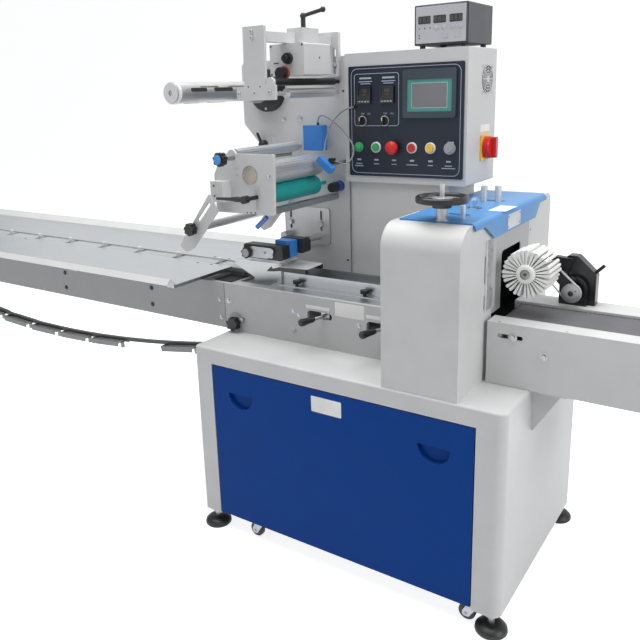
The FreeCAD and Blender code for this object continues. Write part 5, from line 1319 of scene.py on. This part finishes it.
# %% Carrier caps
PUSHER_PITCH = 200
LAST_PUSHER_X = -145
PUSHERS = 12
cap_low = AT_ZERO + Vector((8, 272.5, 788.2))
cap_high = AT_ZERO + Vector((190, 337.5, 794.2))
cap = block("cap", cap_low, cap_high, edge=0.8)
pick(cap, "FACE", lambda f: f.normal.z > 0.99)
bpy.ops.mesh.inset(thickness=5 * MM, depth=0)
bpy.ops.mesh.extrude_region_move(TRANSFORM_OT_translate={"value": (0, 0, -0.8 * MM)})
leave_edit()
# The cap's y and z are already on the machine, so the copies move along x alone.
caps = stamp("carrier_caps", cap,
             [(LAST_PUSHER_X - PUSHER_PITCH * i, 0, 0) for i in range(PUSHERS)])
place_piece(caps, "cap_grey")

# %% [markdown]
# On the return run the chain hangs free in a long arc, and the carriers ride upside down. The arc
# is two half parabolas that meet at its lowest point, with the left one steeper. Every pusher
# there has a sleeve, and every carrier plate a folded skirt on each side, which is what shows
# from below.

# %% Return run
ARC_LOW = (-1160, 404)
ARC_ENDS = ((-2510, 670), (84, 544))
JOINT_PITCH = 100
CARRIER_WIDTH = 56
CARRIER_START, CARRIER_END = 4, 164
SKIRT_DEPTH = 20
# Every second joint starts a carrier; at joint 5 one is missing, as on the CAD chain.
CARRIER_JOINTS = [index for index in range(1, 25, 2) if index != 5]


def arc_joint(index):
    """The chain's joint number index, counted from the drive sprocket, in millimetres."""
    x = ARC_ENDS[1][0] - JOINT_PITCH * index
    end_x, end_z = ARC_ENDS[0] if x < ARC_LOW[0] else ARC_ENDS[1]
    rise = (end_z - ARC_LOW[1]) / (end_x - ARC_LOW[0]) ** 2
    return Vector((x, PRODUCT_Y, ARC_LOW[1] + rise * (x - ARC_LOW[0]) ** 2))


sleeves = []
skirts = []
for index in CARRIER_JOINTS:
    along = (arc_joint(index + 2) - arc_joint(index)).normalized()
    down = along.cross(Y_AXIS)
    if down.z > 0:
        down = -down
    heel = arc_joint(index) + along * 67 + down * 6
    sleeves.append(turned("sleeve", heel + along * 12, down,
                          [(9, 6.6), (9.6, 7.4), (32, 7.4), (32.6, 6.6)], 20))
    near_end = heel + along * CARRIER_START
    far_end = heel + along * CARRIER_END
    corners = [near_end, far_end, far_end + down * SKIRT_DEPTH, near_end + down * SKIRT_DEPTH]
    for side in (-1, 1):
        edge_of_plate = Y_AXIS * side * CARRIER_WIDTH / 2
        skirts.append(plate("skirt", [c + edge_of_plate for c in corners], (0, side * 2, 0), 3.0))
# The pusher sleeves take the lightened grey as well, a painted lift against the shade under the
# chain.
place_piece(join_pieces("pusher_sleeves", sleeves), "lightened_flight_grey")
place_piece(join_pieces("carrier_skirts", skirts), "cap_grey")
print("return pushers:", len(sleeves))

# %% [markdown]
# ## Plates and labels
# Riveted plates and stuck labels are left bare: thin rounded rectangles with a soft edge. The
# hood and the door have one or two each. On the table a label lies between the two lever slots,
# with a white strip above each slot.

# %% Bare labels
HOOD_TOP_Z = 1042


def label(name, low, high, along, corner=2.0, finish="label_white"):
    return finished_block(name, low, high, corner, along, 0.1, finish)


label("hood_label", (815, 272, HOOD_TOP_Z), (861, 364, HOOD_TOP_Z + 0.4), Z_AXIS)
label("table_label", (405, TABLE_Y - 0.4, 723), (502, TABLE_Y, 765), Y_AXIS)
label("left_slot_strip", (303, TABLE_Y - 0.4, 732), (386, TABLE_Y, 743), Y_AXIS, 1,
      "white_plastic")
label("right_slot_strip", (508, TABLE_Y - 0.4, 731), (590, TABLE_Y, 742), Y_AXIS, 1,
      "white_plastic")
label("door_label", (428, -0.4, 498), (525, 0, 544), Y_AXIS)
finished_block("hood_plate", (860, 296, 991), (860.8, 395, 1030), 2, X_AXIS, 0.2, "anodised")
fasten("hood_plate_rivets", pan_screw(2.2, 0.8),
       [(860.8, y, z) for y in (302, 389) for z in (997, 1024)], RIGHT, "caster_grey")

# %% [markdown]
# ## Sealer covers
# The posts rise through slots in the hood, whose dark openings are painted shade: flat black plates
# on the hood top. The near cover carries a clear guard strip on four screws, with a white strip on
# its front edge as a painted highlight and two dark strips beside it as painted shade in the gaps.

# %% Slots and guard
# Flat black plates on the hood top are painted shade for the slot openings that the posts rise
# through.
for name, x, y in (("hood_slot_shade_front", 743, 181), ("hood_slot_shade_back", 733, 435)):
    finished_block(name, (x, y, HOOD_TOP_Z), (801, y + 13, HOOD_TOP_Z + 0.3), 6, Z_AXIS, 0,
                   "black_plastic")
finished_block("window_guard", (COVER_X, 168, 800), (COVER_X + 3, 231, 984), 4, X_AXIS, 0.6,
               "thin_clear")
# A white strip on the guard's front edge is a painted highlight: the bright edge of the clear plate.
finished_block("guard_edge_highlight", (COVER_X, 165.5, 800), (COVER_X + 4.5, 168, 984), 0, Z_AXIS, 0.6,
               "white_plastic")
fasten("guard_screws", pan_screw(4.6, 2.4),
       [(COVER_X + 3, y, z) for y, z in ((173, 958), (210, 954), (173, 861), (205, 855))], RIGHT)
# Two thin dark strips beside the guard are painted shade in the gaps there.
for z0, z1 in ((876, 946), (808, 846)):
    finished_block("guard_gap_shade_" + str(z0), (COVER_X, 161, z0), (COVER_X + 0.4, 164.5, z1), 1.6,
                   X_AXIS, 0, "caster_grey")

# %% [markdown]
# ## Film side
# The reel shaft grips the core with rubber strips in three rows. The plate below carries a
# warm-coloured bearing disc and the root of the nip lever, and a blue rod shows under it.

# %% Reel strips
strips = []
for degrees in (14, 134, 254):
    for y0, y1 in ((48, 116), (148, 232)):
        strip = block("strip", (REEL_X + REEL_SHAFT_R - 0.5, y0, REEL_Z - 5.5),
                      (REEL_X + REEL_SHAFT_R + 0.5, y1, REEL_Z + 5.5), 5.2, X_AXIS, edge=0)
        spin(strip, REEL_X, REEL_Z, -math.radians(degrees))
        strips.append(strip)
place_piece(join_pieces("reel_strips", strips), "cable_rubber", "reel_shaft_body")
collar = turned("reel_collar", (REEL_X, 0, REEL_Z), Y_AXIS,
                [(0, 30.2), (0.6, 31.4), (10, 31.4), (10.6, 30.2)], 64)
place_piece(collar, "white_plastic", "reel_shaft_body")
fasten("reel_pin", pan_screw(3.0, 1.2), [(REEL_X + 29, 34, REEL_Z + 9)], RIGHT,
       body="reel_shaft_body")

# %% Lower plate
BEARING_X, BEARING_Z = 170.4, 1127.5
disc = turned("bearing_disc", (BEARING_X, 0, BEARING_Z), -Y_AXIS,
              [(-100, 27), (-98.8, 27), (-98.4, 26.4)], 56)
place_piece(disc, "disc_alloy")
fasten("bearing_disc_screws", pan_screw(2.0, 0.6),
       [(BEARING_X + 22 * math.cos(t), 98.5, BEARING_Z + 22 * math.sin(t))
        for t in (0.1, 1.67, 3.24, 4.81)], FRONT)
finished_block("lever_root", (186, PLATE_Y - 2.6, 1062), (203, PLATE_Y, 1101), 3, Y_AXIS, 0.5,
               "table_grey")
finished_block("lever_scale", (189, PLATE_Y - 1.4, 1030), (199, PLATE_Y, 1061), 1, Y_AXIS, 0.5,
               "table_grey")
cap = turned("star_knob_cap", (STAR_KNOB_X, 0, STAR_KNOB_Z), -Y_AXIS,
             [(-29, 13.5), (-27.4, 13.2), (-26.6, 11)], 40)
place_piece(cap, "cap_blue")
fasten("arm_block_screws", socket_screw(3.2, 1.6), [(70, 56, 1098), (71, 56, 1069)], FRONT,
       "caster_grey")
rod = turned("blue_rod", (176, 120, 977), Vector((32, 0, 27)).normalized(),
             [(-6, 6), (-5, 7), (44, 7), (45, 6)], 24)
place_piece(rod, "rod_blue")

# %% [markdown]
# ## Photocell and coder
# The photocell's head is a black casting with a plated cover over its working end and a pale
# cap on its star knob. The coder's hand wheel runs on an orange ring, beside a slot with a
# locking bolt. On the wall to the left of it are a small black lever and a thin outline.

# %% Photocell cover
COVER_OUTLINE = ((52, 857), (60, 852), (126, 852.5), (138, 858), (150, 872), (151, 882),
                 (140, 887), (66, 887.5), (52, 882))
cover = plate("photocell_cover", [(x, 222, z) for x, z in COVER_OUTLINE], (0, -2.4, 0), 2)
place_piece(cover, "zinc_steel")
fasten("photocell_screw", socket_screw(4.0, 1.6), [(118, 219.6, 871)], FRONT, "jaw_steel")
cap = turned("photocell_knob_cap", (PHOTOCELL_KNOB[0], 0, PHOTOCELL_KNOB[1]), -Y_AXIS,
             [(-210, 13.4), (-207.4, 13.2), (-206.4, 11.5)], 40)
place_piece(cap, "grey_plastic")

# %% Coder
ring = turned("coder_ring", (233, 0, 1407), -Y_AXIS,
              [(-200, 19.4), (-195.5, 19.4), (-195, 18.6)], 48)
place_piece(ring, "orange_rubber")
finished_block("coder_scale", (198, 199.5, 1432.8), (215, 200, 1436.2), 0, Z_AXIS, 0,
               "caster_grey")
fasten("coder_slot_bolt", hex_bolt(5.6, 1.5, 4), [(303, 358, 1426)], RIGHT)

# %% Wall lever and outline
lever_hub = turned("wall_lever_hub", (-43, 0, 1186), -Y_AXIS,
                   [(-450, 15), (-436, 15), (-432, 11), (-428, 9)], 32)
lever = turned("wall_lever", (-43, 436, 1189), Vector((-15, -4, 36)).normalized(),
               [(0, 5), (6, 5.5), (36, 4.4), (40, 3)], 20)
place_piece(join_pieces("wall_lever", [lever_hub, lever]), "black_plastic")
outline = outline_ribbon("wall_plug", -14, 9, 1184, 1222, 10, 1.1, 449.9)
spin(outline, -2, 1203, -0.55)
place_piece(outline, "frame_paint")

# %% [markdown]
# ## Table and outfeed details
# A dark brush strip closes the gap between tray and table, two arcs of fine marks round the star
# knob are its scale, a fine line marks the joint with the infeed, the belt has a stitched seam
# near its far edge, and small rivets sit in a row on the outfeed's flange.

# %% Gap strip, scale and belt seam
RIB_PITCH = 5.2
ribs = []
for i in range(14):
    x = -66 + i * RIB_PITCH
    ribs.append(block("rib", (x, 183, 766 + 0.35 * i % 1), (x + 3.4, 268, 772), edge=0.6))
place_piece(join_pieces("gap_brush", ribs), "cable_rubber")
marks = []
for radius in (28, 33):
    for i in range(10):
        turn = math.radians(20 + 14 * i)
        x = 30 + radius * math.cos(turn)
        z = 644 + radius * math.sin(turn)
        mark = block("mark", (x - 3.6, TABLE_Y - 0.2, z - 0.4), (x + 3.6, TABLE_Y, z + 0.4),
                     edge=0)
        spin(mark, x, z, math.pi / 2 - turn)
        marks.append(mark)
place_piece(join_pieces("knob_scale", marks), "caster_grey")
finished_block("table_seam", (-15.6, TABLE_Y - 0.3, 621), (-13.9, TABLE_Y, 768), 0, Z_AXIS, 0,
               "caster_grey")
STITCH_PITCH = 10.6
stitches = []
for i in range(64):
    x = 868 + i * STITCH_PITCH
    stitches.append(block("stitch", (x, 366.5, 775.3), (x + 7.4, 369.5, 775.9), edge=0))
place_piece(join_pieces("belt_seam", stitches), "caster_grey")
fasten("flange_rivets", pan_screw(3.2, 0.8), [(x, 172, 781) for x in (891, 1056, 1221, 1386)])

# %% Update the scene
bpy.context.view_layer.update()
